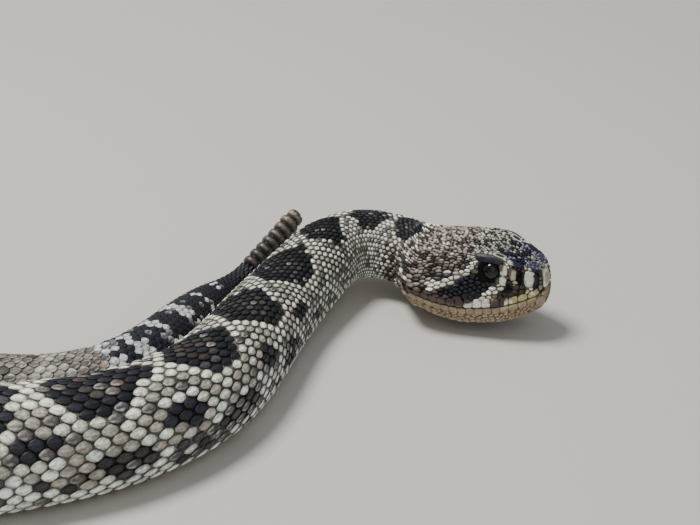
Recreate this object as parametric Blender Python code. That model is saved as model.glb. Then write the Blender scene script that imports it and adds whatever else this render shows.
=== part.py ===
"""Western diamondback rattlesnake at life size, lying in loose bends with its head a little raised."""

import math

import bmesh
import bpy
import numpy as np
from mathutils import Matrix, Vector

# Metres, +Z up, belly on z = 0, except where a name ends in _mm
PLAN_CENTRE = (-0.2127, -0.0663)
JOINT_GAP = 0.0003

# Centre line on the floor, from the back of the head to the root of the rattle
ROUTE = [
    (-0.0240, 0.0080), (-0.0320, 0.0120), (-0.0410, 0.0125), (-0.0490, 0.0085),
    (-0.0551, 0.0004), (-0.0612, -0.0115), (-0.0694, -0.0295), (-0.0784, -0.0572),
    (-0.0920, -0.0902), (-0.1168, -0.1133), (-0.1510, -0.1258),
    (-0.2150, -0.1428), (-0.3000, -0.1660), (-0.3850, -0.1430), (-0.4280, -0.0700),
    (-0.3980, 0.0080), (-0.3200, 0.0350), (-0.2480, 0.0050), (-0.2100, -0.0560),
    (-0.1700, -0.0820), (-0.1325, -0.0785), (-0.1130, -0.0590), (-0.0994, -0.0255),
    (-0.0902, -0.0058), (-0.0793, 0.0082),
]
ROUTE_SAMPLES = 4000

# Half width of the body against the distance behind the head
GIRTH = [
    (0.00, 0.0124), (0.02, 0.0129), (0.05, 0.0140), (0.10, 0.0159), (0.16, 0.0182),
    (0.25, 0.0214), (0.42, 0.0238), (0.60, 0.0238), (0.78, 0.0195), (0.88, 0.0150),
    (0.95, 0.0116), (1.00, 0.0090), (1.03, 0.0062), (1.052, 0.0040), (1.07, 0.0038),
]
HEIGHT_TO_WIDTH = [(0.0, 0.90), (0.3, 0.85), (0.9, 0.87), (1.05, 0.95)]
WIDEST_AT = 0.44
BACK_POWER = 2.05
FLANK_POWER = 2.6
BELLY_FLATNESS = 0.08

NECK_END = 0.10
TAIL_START = 0.968
TORSO_LENGTHS = 7
NECK_RING_STEP = 0.0045
TORSO_RING_STEP = 0.0095
TAIL_RING_STEP = 0.006
RING_SIDES = 24

# The neck lifts the head, and the tail lifts the rattle
NECK_LIFT = [(0, 0.0058), (0.014, 0.0061), (0.080, 0), (0.2, 0)]
TAIL_LIFT_LENGTH = 0.022
RATTLE_PITCH = math.radians(27.0)

# The head turns on the end of the neck, over the last of its own length
HEAD_PLAN = (-0.0253, 0.0007)
HEAD_HEIGHT = 0.0025
HEAD_YAW = math.radians(-28.5)
HEAD_PITCH = math.radians(5.2)
HEAD_ROLL = math.radians(2.8)
ROLL_CENTRE_MM = 10.0
NECK_HOLD_MM = 16.0

# Head outlines in mm, each against the distance behind the snout, up from the plane of the chin
HEAD_LENGTH_MM = 58.0
CROWN_Z = [
    (0, 17.6), (1, 19.2), (3, 20.5), (9, 22.9), (17, 25.6), (28, 26.6), (42, 25.2), (58, 22.3),
]
BROW_X = [
    (0, 1.6), (1, 4.0), (3, 6.2), (9, 8.6), (17, 10.8), (28, 11.4), (42, 12.6), (58, 8.0),
]
BROW_DROP = [(0, 1.3), (3, 1.1), (9, 0.9), (17, 0.7), (28, 2.2), (42, 2.7), (58, 2.6)]
CHEEK_X = [
    (0, 2.4), (1, 5.0), (3, 7.2), (9, 9.8), (17, 12.0),
    (28, 16.2), (36, 18.6), (43, 19.4), (49, 18.2), (58, 12.4),
]
CHEEK_Z = [(0, 14.4), (9, 15.5), (17, 16.0), (30, 15.5), (43, 14.2), (58, 10.4)]
LIP_X = [
    (0, 2.6), (1, 5.4), (3, 7.8), (9, 11.0), (17, 13.8),
    (28, 16.9), (36, 18.8), (43, 19.3), (49, 17.9), (58, 11.8),
]
LIP_Z = [
    (0, 10.9), (3, 10.1), (8, 8.6), (15, 7.2), (24, 6.9),
    (35, 9.0), (43, 11.4), (49, 12.1), (58, 9.2),
]
JAW_X = [
    (0, 1.0), (1, 3.2), (3, 5.4), (9, 9.4), (17, 12.0),
    (28, 14.6), (36, 15.6), (43, 15.6), (49, 14.2), (58, 10.6),
]
JAW_Z = [
    (0, 8.4), (1, 6.4), (3, 4.6), (9, 2.4), (17, 0.9),
    (25, 0.8), (35, 2.6), (43, 5.0), (49, 5.2), (58, 2.2),
]
CHIN_Z = [
    (0, 8.0), (1, 5.4), (3, 3.0), (9, -0.2), (17, -2.0),
    (25, -2.2), (35, -0.8), (43, 0.9), (50, 1.1), (58, 0.0),
]
LIP_SWELL_MM = 1.1
SPAN_STEPS = [3, 3, 4, 3, 2, 3, 3]
HEAD_BLEND_MM = 12.0
SLIVER_MM = 0.02
SHARE_STATION_MM = 52.0
HEAD_STATIONS = [
    0, 0.35, 1, 2, 3.5, 5.5, 8, 11, 14, 17, 20, 24, 28, 32, 36, 40, 43, 46, 49, 52, 55,
]

# Large plates, as distance behind the snout and place round the section (0 crown, 2 brow, 4.5 mouth, 7 chin)
PLATE_ROOT_MM = 0.9
PLATE_SIDES = 8
PLATE_SQUARENESS = 0.6
PLATE_RIM = 0.6
SUPRAOCULAR = (12.2, 21.6, 1.05, 2.08, 0.75)
CANTHAL = (5.4, 10.6, 1.10, 1.95, 0.35)
INTERNASAL = (1.9, 4.9, 0.35, 1.60, 0.35)
PRENASAL = (2.3, 5.0, 2.15, 3.05, 0.35)
POSTNASAL = (7.6, 9.8, 2.15, 2.80, 0.35)
UPPER_LABIALS = (15, 2.6, 46.0, 3.30, 4.12, 0.35)
LOWER_LABIALS = (15, 2.4, 44.5, 4.86, 5.60, 0.30)
LABIAL_SPACING = 0.86

# Half its width below and above, its lower and upper edge, and how far it stands out
ROSTRAL_MM = (2.5, 1.7, 11.9, 18.4, 0.45)
ROSTRAL_FRONT = 0.8
ROSTRAL_ROOT_MM = 1.6

MOUTH_GAP_MM = 0.3
MOUTH_CORNER_MM = 47.5
MOUTH_STATIONS = 22
CUT_PAST_SNOUT_MM = 3.0
CUT_PAST_SIDES_MM = 30.0
CUT_PAST_CHIN_MM = 5.0
EYE_RADIUS = 0.0033
EYE_PLACE_MM = (16.4, 9.9, 20.1)
NOSTRIL_PLACE_MM = (6.4, 8.4, 18.0)
NOSTRIL_RADIUS = 0.0011
NOSTRIL_STRETCH = (1, 1.2, 1.3)
PIT_PLACE_MM = (9.4, 10.4, 14.4)
PIT_RADIUS = 0.0015
PIT_STRETCH = (1.1, 1.3, 1)

RATTLE_LENGTH = 0.0291
RATTLE_LOBES = 8
RATTLE_HALF_WIDTH = 0.0036
RATTLE_HALF_HEIGHT = 0.0046
RATTLE_SIDES = 20
LOBE_SHAPE = ((0.0, 0.84), (0.2, 0.98), (0.5, 1.0), (0.8, 0.93))
LOBE_TAPER = 0.012
FURROW_DEPTH = 0.16
FURROW_SPREAD = 0.06
RATTLE_TIP = 0.5

CROWN_COLOUR = (0.20, 0.17, 0.14)
JAW_COLOUR = (0.55, 0.45, 0.28)
EYE_COLOUR = (0.05, 0.04, 0.03)
NECK_COLOUR = (0.45, 0.43, 0.38)
BACK_COLOUR = (0.24, 0.22, 0.19)
TAIL_COLOUR = (0.40, 0.39, 0.37)
HORN_COLOUR = (0.12, 0.09, 0.07)
SKIN_ROUGHNESS = 0.55
EYE_ROUGHNESS = 0.1
HORN_ROUGHNESS = 0.5


def clear_scene():
    for obj in list(bpy.data.objects):
        bpy.data.objects.remove(obj, do_unlink=True)


def natural_spline(knots, values):
    """A smooth curve through all the points, with no bend at its two ends."""
    count = len(knots)
    gaps = np.diff(knots)
    system = np.eye(count)
    right = np.zeros(count)
    for i in range(1, count - 1):
        system[i, i - 1] = gaps[i - 1]
        system[i, i] = 2 * (gaps[i - 1] + gaps[i])
        system[i, i + 1] = gaps[i]
        right[i] = 6 * ((values[i + 1] - values[i]) / gaps[i] - (values[i] - values[i - 1]) / gaps[i - 1])
    bends = np.linalg.solve(system, right)

    def curve(x):
        x = np.asarray(x, float)
        i = np.clip(np.searchsorted(knots, x) - 1, 0, count - 2)
        after = knots[i + 1] - x
        before = x - knots[i]
        cubic = (bends[i] * after**3 + bends[i + 1] * before**3) / (6 * gaps[i])
        start = (values[i] / gaps[i] - bends[i] * gaps[i] / 6) * after
        end = (values[i + 1] / gaps[i] - bends[i + 1] * gaps[i] / 6) * before
        return cubic + start + end

    return curve


def profile(points):
    """A smooth curve through named sizes that never swings past them."""
    x = np.array([point[0] for point in points], float)
    y = np.array([point[1] for point in points], float)
    gaps = np.diff(x)
    rises = np.diff(y) / gaps
    slopes = np.zeros(len(x))
    slopes[0] = rises[0]
    slopes[-1] = rises[-1]
    for i in range(1, len(x) - 1):
        if rises[i - 1] * rises[i] > 0:
            near = 2 * gaps[i] + gaps[i - 1]
            far = gaps[i] + 2 * gaps[i - 1]
            slopes[i] = (near + far) / (near / rises[i - 1] + far / rises[i])

    def curve(value):
        value = np.clip(np.asarray(value, float), x[0], x[-1])
        i = np.clip(np.searchsorted(x, value) - 1, 0, len(x) - 2)
        t = (value - x[i]) / gaps[i]
        return (
            y[i] * (2 * t**3 - 3 * t**2 + 1)
            + y[i + 1] * (3 * t**2 - 2 * t**3)
            + gaps[i] * (slopes[i] * (t**3 - 2 * t**2 + t) + slopes[i + 1] * (t**3 - t**2))
        )

    return curve


def lay_route():
    """The centre line, read off at even steps of its own length."""
    points = np.array(ROUTE) - np.array(PLAN_CENTRE)
    chord = np.concatenate([[0], np.cumsum(np.hypot(*np.diff(points, axis=0).T))])
    steps = np.linspace(0, chord[-1], ROUTE_SAMPLES)
    x = natural_spline(chord, points[:, 0])(steps)
    y = natural_spline(chord, points[:, 1])(steps)
    run = np.concatenate([[0], np.cumsum(np.hypot(np.diff(x), np.diff(y)))])
    return run, x, y


RUN, RUN_X, RUN_Y = lay_route()
BODY_LENGTH = RUN[-1]
half_width = profile(GIRTH)
height_ratio = profile(HEIGHT_TO_WIDTH)
neck_lift = profile(NECK_LIFT)


def lift(s):
    """Height of the belly over the floor."""
    tail = np.clip((s - BODY_LENGTH + TAIL_LIFT_LENGTH) / TAIL_LIFT_LENGTH, 0, None)
    return neck_lift(s) + math.tan(RATTLE_PITCH) * TAIL_LIFT_LENGTH / 2 * tail**2


def plan_point(s):
    return np.array([np.interp(s, RUN, RUN_X), np.interp(s, RUN, RUN_Y)])


def body_frame(s):
    """Belly point, direction towards the tail, direction to the snake's right, and up, at s."""
    step = 0.0005
    low = max(s - step, 0)
    high = min(s + step, BODY_LENGTH)
    along = plan_point(high) - plan_point(low)
    along /= np.linalg.norm(along)
    climb = (lift(high) - lift(low)) / (high - low)
    origin = Vector((*plan_point(s), float(lift(s))))
    back = Vector((along[0], along[1], float(climb))).normalized()
    right = Vector((-along[1], along[0], 0))
    return origin, back, right, right.cross(back) * -1


def unit_half_section():
    """Half of a body section from the back's ridge down to the belly's middle, one wide and one high."""
    top = np.linspace(0, math.pi / 2, 90)
    back_x = np.sin(top) ** (2 / BACK_POWER)
    back_z = WIDEST_AT + (1 - WIDEST_AT) * np.cos(top) ** (2 / BACK_POWER)
    depth = WIDEST_AT * (1 + BELLY_FLATNESS)
    last = math.asin((WIDEST_AT / depth) ** (FLANK_POWER / 2))
    low = np.linspace(0, last, 60)[1:]
    flank_x = np.cos(low) ** (2 / FLANK_POWER)
    flank_z = WIDEST_AT - depth * np.sin(low) ** (2 / FLANK_POWER)
    flank_z[-1] = 0
    x = np.concatenate([back_x, flank_x, [0]])
    z = np.concatenate([back_z, flank_z, [0]])
    x[0] = 0
    share = np.concatenate([[0], np.cumsum(np.hypot(np.diff(x), np.diff(z) * 1.75))])
    return share / share[-1], x, z


HALF_SHARE, HALF_X, HALF_Z = unit_half_section()


def body_half(s, shares):
    """Half a section of the body at s, as distances out and up, at these shares of its girth."""
    wide = half_width(s)
    tall = 2 * wide * height_ratio(s)
    return np.interp(shares, HALF_SHARE, HALF_X) * wide, np.interp(shares, HALF_SHARE, HALF_Z) * tall


def whole_ring(out, up):
    """Both halves of a section, once round from the ridge."""
    return np.concatenate([out, -out[-2:0:-1]]), np.concatenate([up, up[-2:0:-1]])


def body_ring(s, shares):
    origin, _, right, up = body_frame(s)
    out, high = whole_ring(*body_half(s, shares))
    return [origin + right * x + up * z for x, z in zip(out, high)]


def loft(name, rings):
    """A closed mesh through rings of equally many points, flat at both ends."""
    count = len(rings[0])
    points = [tuple(point) for ring in rings for point in ring]
    faces = []
    for r in range(len(rings) - 1):
        for k in range(count):
            n = (k + 1) % count
            faces.append((r * count + k, r * count + n, (r + 1) * count + n, (r + 1) * count + k))
    faces.append(tuple(range(count)))
    faces.append(tuple(reversed([(len(rings) - 1) * count + k for k in range(count)])))
    mesh = bpy.data.meshes.new(name)
    mesh.from_pydata(points, [], faces)
    return close_mesh(mesh)


def close_mesh(mesh):
    shape = bmesh.new()
    shape.from_mesh(mesh)
    bmesh.ops.recalc_face_normals(shape, faces=shape.faces)
    if shape.calc_volume(signed=True) < 0:
        bmesh.ops.reverse_faces(shape, faces=shape.faces)
    shape.to_mesh(mesh)
    shape.free()
    return mesh


def show(name, mesh, colour, roughness):
    obj = bpy.data.objects.new(name, mesh)
    bpy.context.collection.objects.link(obj)
    material = bpy.data.materials.new(name)
    material.use_nodes = True
    surface = material.node_tree.nodes["Principled BSDF"]
    surface.inputs["Base Color"].default_value = (*colour, 1)
    surface.inputs["Roughness"].default_value = roughness
    surface.inputs["Metallic"].default_value = 0
    mesh.materials.clear()
    mesh.materials.append(material)
    mesh.shade_smooth()
    mesh.set_sharp_from_angle(angle=math.radians(50))
    return obj


def body_length(name, start, end, ring_step, colour):
    shares = np.linspace(0, 1, RING_SIDES // 2 + 1)
    first = start + JOINT_GAP / 2
    last = end - JOINT_GAP / 2
    steps = max(2, round((last - first) / ring_step))
    rings = [body_ring(s, shares) for s in np.linspace(first, last, steps + 1)]
    return show(name, loft(name, rings), colour, SKIN_ROUGHNESS)


def smooth_step(t):
    t = np.clip(t, 0, 1)
    return t * t * (3 - 2 * t)


def head_axes():
    """The rear of the head at chin level, then its directions forwards, to its right and up."""
    plan = np.array(HEAD_PLAN) - np.array(PLAN_CENTRE)
    forward = Vector((
        math.cos(HEAD_YAW) * math.cos(HEAD_PITCH),
        math.sin(HEAD_YAW) * math.cos(HEAD_PITCH),
        math.sin(HEAD_PITCH),
    ))
    right = Vector((math.sin(HEAD_YAW), -math.cos(HEAD_YAW), 0))
    up = right.cross(forward)
    middle = Vector((*plan, HEAD_HEIGHT)) + up * ROLL_CENTRE_MM * 0.001
    roll = Matrix.Rotation(HEAD_ROLL, 3, forward)
    right.rotate(roll)
    up.rotate(roll)
    return middle - up * ROLL_CENTRE_MM * 0.001, forward, right, up


def place_on_head(mesh):
    """Moves a mesh from head millimetres (behind the snout, to the right, up) to the part's frame."""
    rear, forward, right, up = head_axes()
    joint, back, joint_right, joint_up = body_frame(0)
    for vert in mesh.vertices:
        a, x, z = vert.co
        behind = (a - HEAD_LENGTH_MM) * 0.001
        free = rear - forward * behind + right * x * 0.001 + up * z * 0.001
        held = joint + back * behind + joint_right * x * 0.001 + joint_up * z * 0.001
        vert.co = free.lerp(held, float(smooth_step((a - HEAD_LENGTH_MM + NECK_HOLD_MM) / NECK_HOLD_MM)))
    mesh.update()


HEAD_OUTLINES = [profile(points) for points in (
    CROWN_Z, BROW_X, BROW_DROP, CHEEK_X, CHEEK_Z, LIP_X, LIP_Z, JAW_X, JAW_Z, CHIN_Z,
)]


def free_head_point(a, v):
    """Distances out and up on the head, a mm behind the snout, v round from the crown (0) to the chin (7)."""
    crown, brow_x, drop, cheek_x, cheek_z, lip_x, lip_z, jaw_x, jaw_z, chin = [f(a) for f in HEAD_OUTLINES]
    nought = crown * 0
    path = np.array([
        (-brow_x * 0.6, crown - drop * 0.25),
        (nought, crown),
        (brow_x * 0.6, crown - drop * 0.25),
        (brow_x, crown - drop),
        (cheek_x, cheek_z),
        (lip_x, lip_z + LIP_SWELL_MM),
        (lip_x - 0.3, lip_z - LIP_SWELL_MM),
        (jaw_x, jaw_z),
        (nought, chin),
        (-jaw_x, jaw_z),
    ])
    i = np.clip(np.floor(v).astype(int), 0, 6)
    t = v - i
    p0, p1, p2, p3 = [np.take_along_axis(path, (i + k)[None, None], 0)[0] for k in range(4)]
    spans = [np.maximum(np.hypot(*(q - p)), 1e-6) for p, q in ((p0, p1), (p1, p2), (p2, p3))]
    m1 = (p2 - p0) / (spans[0] + spans[1]) * spans[1]
    m2 = (p3 - p1) / (spans[1] + spans[2]) * spans[1]
    return (
        p1 * (2 * t**3 - 3 * t**2 + 1) + p2 * (3 * t**2 - 2 * t**3)
        + m1 * (t**3 - 2 * t**2 + t) + m2 * (t**3 - t**2)
    )


def share_table():
    """How far round its girth, from crown to chin, each v lies near the back of the head."""
    v = np.linspace(0, 7, 281)
    x, z = free_head_point(np.full_like(v, SHARE_STATION_MM), v)
    run = np.concatenate([[0], np.cumsum(np.hypot(np.diff(x), np.diff(z)))])
    return v, run / run[-1]


TABLE_V, TABLE_SHARE = share_table()


def head_point(a, v):
    """As free_head_point, but turning into the neck's own section at the back."""
    a = np.asarray(a, float)
    v = np.asarray(v, float)
    x, z = free_head_point(a, v)
    neck_x, neck_z = body_half(0, np.interp(v, TABLE_V, TABLE_SHARE))
    ease = smooth_step((a - HEAD_LENGTH_MM + HEAD_BLEND_MM) / HEAD_BLEND_MM)
    return x * (1 - ease) + neck_x * 1000 * ease, z * (1 - ease) + neck_z * 1000 * ease


def head_rings():
    v = np.concatenate([i + np.arange(n) / n for i, n in enumerate(SPAN_STEPS)] + [[7]])
    rings = []
    for a in HEAD_STATIONS + [HEAD_LENGTH_MM - JOINT_GAP * 500]:
        out, high = whole_ring(*head_point(np.full_like(v, a), v))
        rings.append([Vector((a, x, z)) for x, z in zip(out, high)])
    return rings


def on_head(a, v, side, raised):
    """A point this many mm off the head's surface, along its normal."""
    step = 0.05
    x, z = head_point(np.array([a, a + step, a - step, a, a]), np.array([v, v, v, v + step, v - step]))
    middle = Vector((a, x[0], z[0]))
    along = Vector((2 * step, x[1] - x[2], z[1] - z[2]))
    around = Vector((0, x[3] - x[4], z[3] - z[4]))
    point = middle + around.cross(along).normalized() * raised
    point.y *= side
    return point


def plate(name, side, front, rear, top, bottom, height):
    """A low rounded plate that grows out of the head between these places."""
    rim = []
    root = []
    for k in range(PLATE_SIDES):
        angle = (k + 0.5) / PLATE_SIDES * 2 * math.pi
        swing = [math.copysign(abs(f(angle)) ** PLATE_SQUARENESS, f(angle)) for f in (math.cos, math.sin)]
        a = (front + rear) / 2 + swing[0] * (rear - front) / 2
        v = (top + bottom) / 2 + swing[1] * (bottom - top) / 2
        rim.append(on_head(a, v, side, height * PLATE_RIM))
        root.append(on_head(a, v, side, -PLATE_ROOT_MM))
    peak = on_head((front + rear) / 2, (top + bottom) / 2, side, height)
    points = [tuple(p) for p in rim + root + [peak]]
    faces = [tuple(range(PLATE_SIDES, 2 * PLATE_SIDES))]
    for k in range(PLATE_SIDES):
        n = (k + 1) % PLATE_SIDES
        faces.append((k, n, 2 * PLATE_SIDES))
        faces.append((k, PLATE_SIDES + k, PLATE_SIDES + n, n))
    mesh = bpy.data.meshes.new(name)
    mesh.from_pydata(points, [], faces)
    return close_mesh(mesh)


def rostral_plate():
    """The shield at the tip of the snout, narrower at its top."""
    low_x, high_x, low_z, high_z, height = ROSTRAL_MM
    outline = [(-low_x, low_z), (low_x, low_z), (high_x, high_z), (-high_x, high_z)]
    depths = ((-height, ROSTRAL_FRONT), (0, 1), (ROSTRAL_ROOT_MM, 1))
    return loft("rostral", [[Vector((a, x * wide, z)) for x, z in outline] for a, wide in depths])


def head_plates():
    plates = [rostral_plate()]
    for side in (-1, 1):
        for sizes in (SUPRAOCULAR, CANTHAL, INTERNASAL, PRENASAL, POSTNASAL):
            plates.append(plate("shield", side, *sizes))
        for count, front, rear, top, bottom, height in (UPPER_LABIALS, LOWER_LABIALS):
            step = (rear - front) / count
            for i in range(count):
                start = front + i * step
                end = start + step * LABIAL_SPACING
                plates.append(plate("labial", side, start, end, top, bottom, height))
    return plates


def join(obj, pieces):
    """Adds the pieces to an object as one closed body."""
    group = bpy.data.collections.new("pieces")
    bpy.context.scene.collection.children.link(group)
    for piece in pieces:
        group.objects.link(bpy.data.objects.new(piece.name, piece))
    union = obj.modifiers.new("union", "BOOLEAN")
    union.operation = "UNION"
    union.operand_type = "COLLECTION"
    union.solver = "EXACT"
    union.collection = group
    bpy.context.view_layer.update()
    result = bpy.data.meshes.new_from_object(obj.evaluated_get(bpy.context.evaluated_depsgraph_get()))
    obj.modifiers.clear()
    obj.data = loose_parts(result)[0]
    for piece in list(group.objects):
        bpy.data.objects.remove(piece, do_unlink=True)
    bpy.data.collections.remove(group)


def cutter(name, mesh):
    obj = bpy.data.objects.new(name, mesh)
    bpy.context.collection.objects.link(obj)
    obj.hide_render = True
    obj.display_type = "WIRE"
    return obj


def ball(name, place, side, radius, stretch=(1, 1, 1)):
    """A ball at a place on one side of the head, given in head millimetres."""
    mesh = bpy.data.meshes.new(name)
    shape = bmesh.new()
    middle = Matrix.Translation((place[0], place[1] * side, place[2]))
    size = Matrix.Diagonal((*[radius * 1000 * s for s in stretch], 1))
    bmesh.ops.create_icosphere(shape, subdivisions=3, radius=1, matrix=middle @ size)
    shape.to_mesh(mesh)
    shape.free()
    return close_mesh(mesh)


def mouth_cut():
    """A thin curved sheet along the line of the mouth that turns down behind the lower jaw."""
    line = profile(LIP_Z)
    half = MOUTH_GAP_MM / 2
    path = [(a, float(line(a))) for a in np.linspace(-CUT_PAST_SNOUT_MM, MOUTH_CORNER_MM, MOUTH_STATIONS)]
    edges = []
    for shift in (half, -half):
        edge = [(a, z + shift) for a, z in path[:-1]]
        edge.append((MOUTH_CORNER_MM + shift, path[-1][1] + shift))
        edge.append((MOUTH_CORNER_MM + shift, -CUT_PAST_CHIN_MM))
        edges.append(edge)
    outline = edges[0] + edges[1][::-1]
    total = len(outline)
    points = [(a, side, z) for side in (-CUT_PAST_SIDES_MM, CUT_PAST_SIDES_MM) for a, z in outline]
    faces = []
    for k in range(total):
        n = (k + 1) % total
        faces.append((k, n, total + n, total + k))
    for side in (0, total):
        for k in range(len(edges[0]) - 1):
            faces.append((side + k, side + k + 1, side + total - 2 - k, side + total - 1 - k))
    mesh = bpy.data.meshes.new("mouth_cut")
    mesh.from_pydata(points, [], faces)
    return close_mesh(mesh)


def carve(obj, cutters):
    for tool in cutters:
        cut = obj.modifiers.new(tool.name, "BOOLEAN")
        cut.operation = "DIFFERENCE"
        cut.solver = "EXACT"
        cut.object = tool
    bpy.context.view_layer.update()
    result = bpy.data.meshes.new_from_object(obj.evaluated_get(bpy.context.evaluated_depsgraph_get()))
    bpy.data.objects.remove(obj, do_unlink=True)
    for tool in cutters:
        bpy.data.objects.remove(tool, do_unlink=True)
    return result


def loose_parts(mesh):
    """The mesh's separate closed surfaces, without slivers, the largest first."""
    shape = bmesh.new()
    shape.from_mesh(mesh)
    bmesh.ops.dissolve_degenerate(shape, dist=SLIVER_MM, edges=shape.edges)
    bmesh.ops.triangulate(shape, faces=shape.faces)
    left = set(shape.faces)
    parts = []
    while left:
        seed = left.pop()
        group = [seed]
        for face in group:
            for edge in face.edges:
                for other in edge.link_faces:
                    if other in left:
                        left.remove(other)
                        group.append(other)
        parts.append(group)
    meshes = []
    for group in sorted(parts, key=len, reverse=True):
        index = {}
        points = []
        faces = []
        for face in group:
            for vert in face.verts:
                if vert not in index:
                    index[vert] = len(points)
                    points.append(vert.co.copy())
            faces.append([index[vert] for vert in face.verts])
        part = bpy.data.meshes.new("part")
        part.from_pydata(points, [], faces)
        meshes.append(part)
    shape.free()
    return meshes


def build_head():
    whole = bpy.data.objects.new("whole_head", loft("whole_head", head_rings()))
    bpy.context.collection.objects.link(whole)
    join(whole, head_plates())
    tools = [cutter("mouth", mouth_cut())]
    for side in (-1, 1):
        tools.append(cutter("socket", ball("socket", EYE_PLACE_MM, side, EYE_RADIUS + JOINT_GAP)))
        nostril = ball("nostril", NOSTRIL_PLACE_MM, side, NOSTRIL_RADIUS, NOSTRIL_STRETCH)
        pit = ball("pit", PIT_PLACE_MM, side, PIT_RADIUS, PIT_STRETCH)
        tools += [cutter("nostril", nostril), cutter("pit", pit)]
    upper, lower = loose_parts(carve(whole, tools))[:2]
    for name, mesh, colour in (("head", upper, CROWN_COLOUR), ("lower_jaw", lower, JAW_COLOUR)):
        place_on_head(mesh)
        show(name, mesh, colour, SKIN_ROUGHNESS)
    for name, side in (("eye_left", -1), ("eye_right", 1)):
        mesh = ball(name, EYE_PLACE_MM, side, EYE_RADIUS)
        place_on_head(mesh)
        show(name, mesh, EYE_COLOUR, EYE_ROUGHNESS)


def build_body():
    body_length("neck", 0, NECK_END, NECK_RING_STEP, NECK_COLOUR)
    step = (TAIL_START - NECK_END) / TORSO_LENGTHS
    for i in range(TORSO_LENGTHS):
        start = NECK_END + i * step
        body_length(f"torso_{i + 1}", start, start + step, TORSO_RING_STEP, BACK_COLOUR)
    body_length("tail", TAIL_START, BODY_LENGTH, TAIL_RING_STEP, TAIL_COLOUR)


def build_rattle():
    """Nested lobes on one axis, each a swollen ring with a furrow down both flanks."""
    origin, back, right, up = body_frame(BODY_LENGTH)
    base = origin + up * float(half_width(BODY_LENGTH) * height_ratio(BODY_LENGTH)) + back * JOINT_GAP / 2
    pitch = RATTLE_LENGTH / RATTLE_LOBES
    angles = np.arange(RATTLE_SIDES) / RATTLE_SIDES * 2 * math.pi
    rings = []
    for i in range(RATTLE_LOBES):
        for t, swell in LOBE_SHAPE:
            at = base + back * pitch * (i + t)
            rings.append(rattle_ring(at, right, up, angles, (1 - LOBE_TAPER * i) * swell))
    rings.append(rattle_ring(base + back * RATTLE_LENGTH, right, up, angles, RATTLE_TIP))
    show("rattle", loft("rattle", rings), HORN_COLOUR, HORN_ROUGHNESS)


def rattle_ring(at, right, up, angles, size):
    ring = []
    for angle in angles:
        furrow = 1 - FURROW_DEPTH * math.exp(-(math.cos(angle) ** 2) / FURROW_SPREAD)
        x = math.sin(angle) * RATTLE_HALF_WIDTH * size * furrow
        z = math.cos(angle) * RATTLE_HALF_HEIGHT * size
        ring.append(at + right * x + up * z)
    return ring


clear_scene()
build_head()
build_body()
build_rattle()
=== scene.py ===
import math

import bpy
import numpy as np
from mathutils import Matrix, Vector


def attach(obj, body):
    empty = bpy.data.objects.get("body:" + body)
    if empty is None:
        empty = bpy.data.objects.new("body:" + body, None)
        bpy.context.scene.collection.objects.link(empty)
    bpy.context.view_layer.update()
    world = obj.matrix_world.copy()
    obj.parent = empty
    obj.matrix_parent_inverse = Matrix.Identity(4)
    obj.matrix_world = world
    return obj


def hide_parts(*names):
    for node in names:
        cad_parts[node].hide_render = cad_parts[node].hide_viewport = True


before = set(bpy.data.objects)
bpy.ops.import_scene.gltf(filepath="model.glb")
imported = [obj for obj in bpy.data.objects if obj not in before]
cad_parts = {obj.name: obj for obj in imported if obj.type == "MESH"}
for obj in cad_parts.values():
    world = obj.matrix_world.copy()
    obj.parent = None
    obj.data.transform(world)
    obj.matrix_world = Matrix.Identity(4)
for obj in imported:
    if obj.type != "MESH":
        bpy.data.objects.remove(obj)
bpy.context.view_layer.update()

# A western diamondback rattlesnake in loose bends. Lengths are metres, except where a name ends in Mm.
dice = np.random.default_rng(1127)
bakeMap = "OFBake"
tintLayer = "scaleTint"


def paint(red, green, blue):
    # a colour as a screen shows it, turned into the linear values that shaders use
    parts = np.array([red, green, blue], float) / 255
    return np.where(parts <= 0.04045, parts / 12.92, ((parts + 0.055) / 1.055) ** 2.4)


def naturalSpline(knots, values):
    count = len(knots)
    gaps = np.diff(knots)
    system = np.eye(count)
    right = np.zeros(count)
    for i in range(1, count - 1):
        system[i, i - 1] = gaps[i - 1]
        system[i, i] = 2 * (gaps[i - 1] + gaps[i])
        system[i, i + 1] = gaps[i]
        right[i] = 6 * ((values[i + 1] - values[i]) / gaps[i] - (values[i] - values[i - 1]) / gaps[i - 1])
    bends = np.linalg.solve(system, right)

    def curve(x):
        i = np.clip(np.searchsorted(knots, x) - 1, 0, count - 2)
        after = knots[i + 1] - x
        before = x - knots[i]
        cubic = (bends[i] * after**3 + bends[i + 1] * before**3) / (6 * gaps[i])
        start = (values[i] / gaps[i] - bends[i] * gaps[i] / 6) * after
        end = (values[i + 1] / gaps[i] - bends[i + 1] * gaps[i] / 6) * before
        return cubic + start + end

    return curve


def smoothProfile(points):
    x = np.array([point[0] for point in points], float)
    y = np.array([point[1] for point in points], float)
    gaps = np.diff(x)
    rises = np.diff(y) / gaps
    slopes = np.zeros(len(x))
    slopes[0] = rises[0]
    slopes[-1] = rises[-1]
    for i in range(1, len(x) - 1):
        if rises[i - 1] * rises[i] > 0:
            near = 2 * gaps[i] + gaps[i - 1]
            far = gaps[i] + 2 * gaps[i - 1]
            slopes[i] = (near + far) / (near / rises[i - 1] + far / rises[i])

    def curve(value):
        value = np.clip(np.asarray(value, float), x[0], x[-1])
        i = np.clip(np.searchsorted(x, value) - 1, 0, len(x) - 2)
        t = (value - x[i]) / gaps[i]
        return (
            y[i] * (2 * t**3 - 3 * t**2 + 1)
            + y[i + 1] * (3 * t**2 - 2 * t**3)
            + gaps[i] * (slopes[i] * (t**3 - 2 * t**2 + t) + slopes[i + 1] * (t**3 - t**2))
        )

    return curve


def lay(tint, where, colour):
    return np.where(where[:, None], colour, tint)


def smoothStep(t):
    t = np.clip(t, 0, 1)
    return t * t * (3 - 2 * t)


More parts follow.
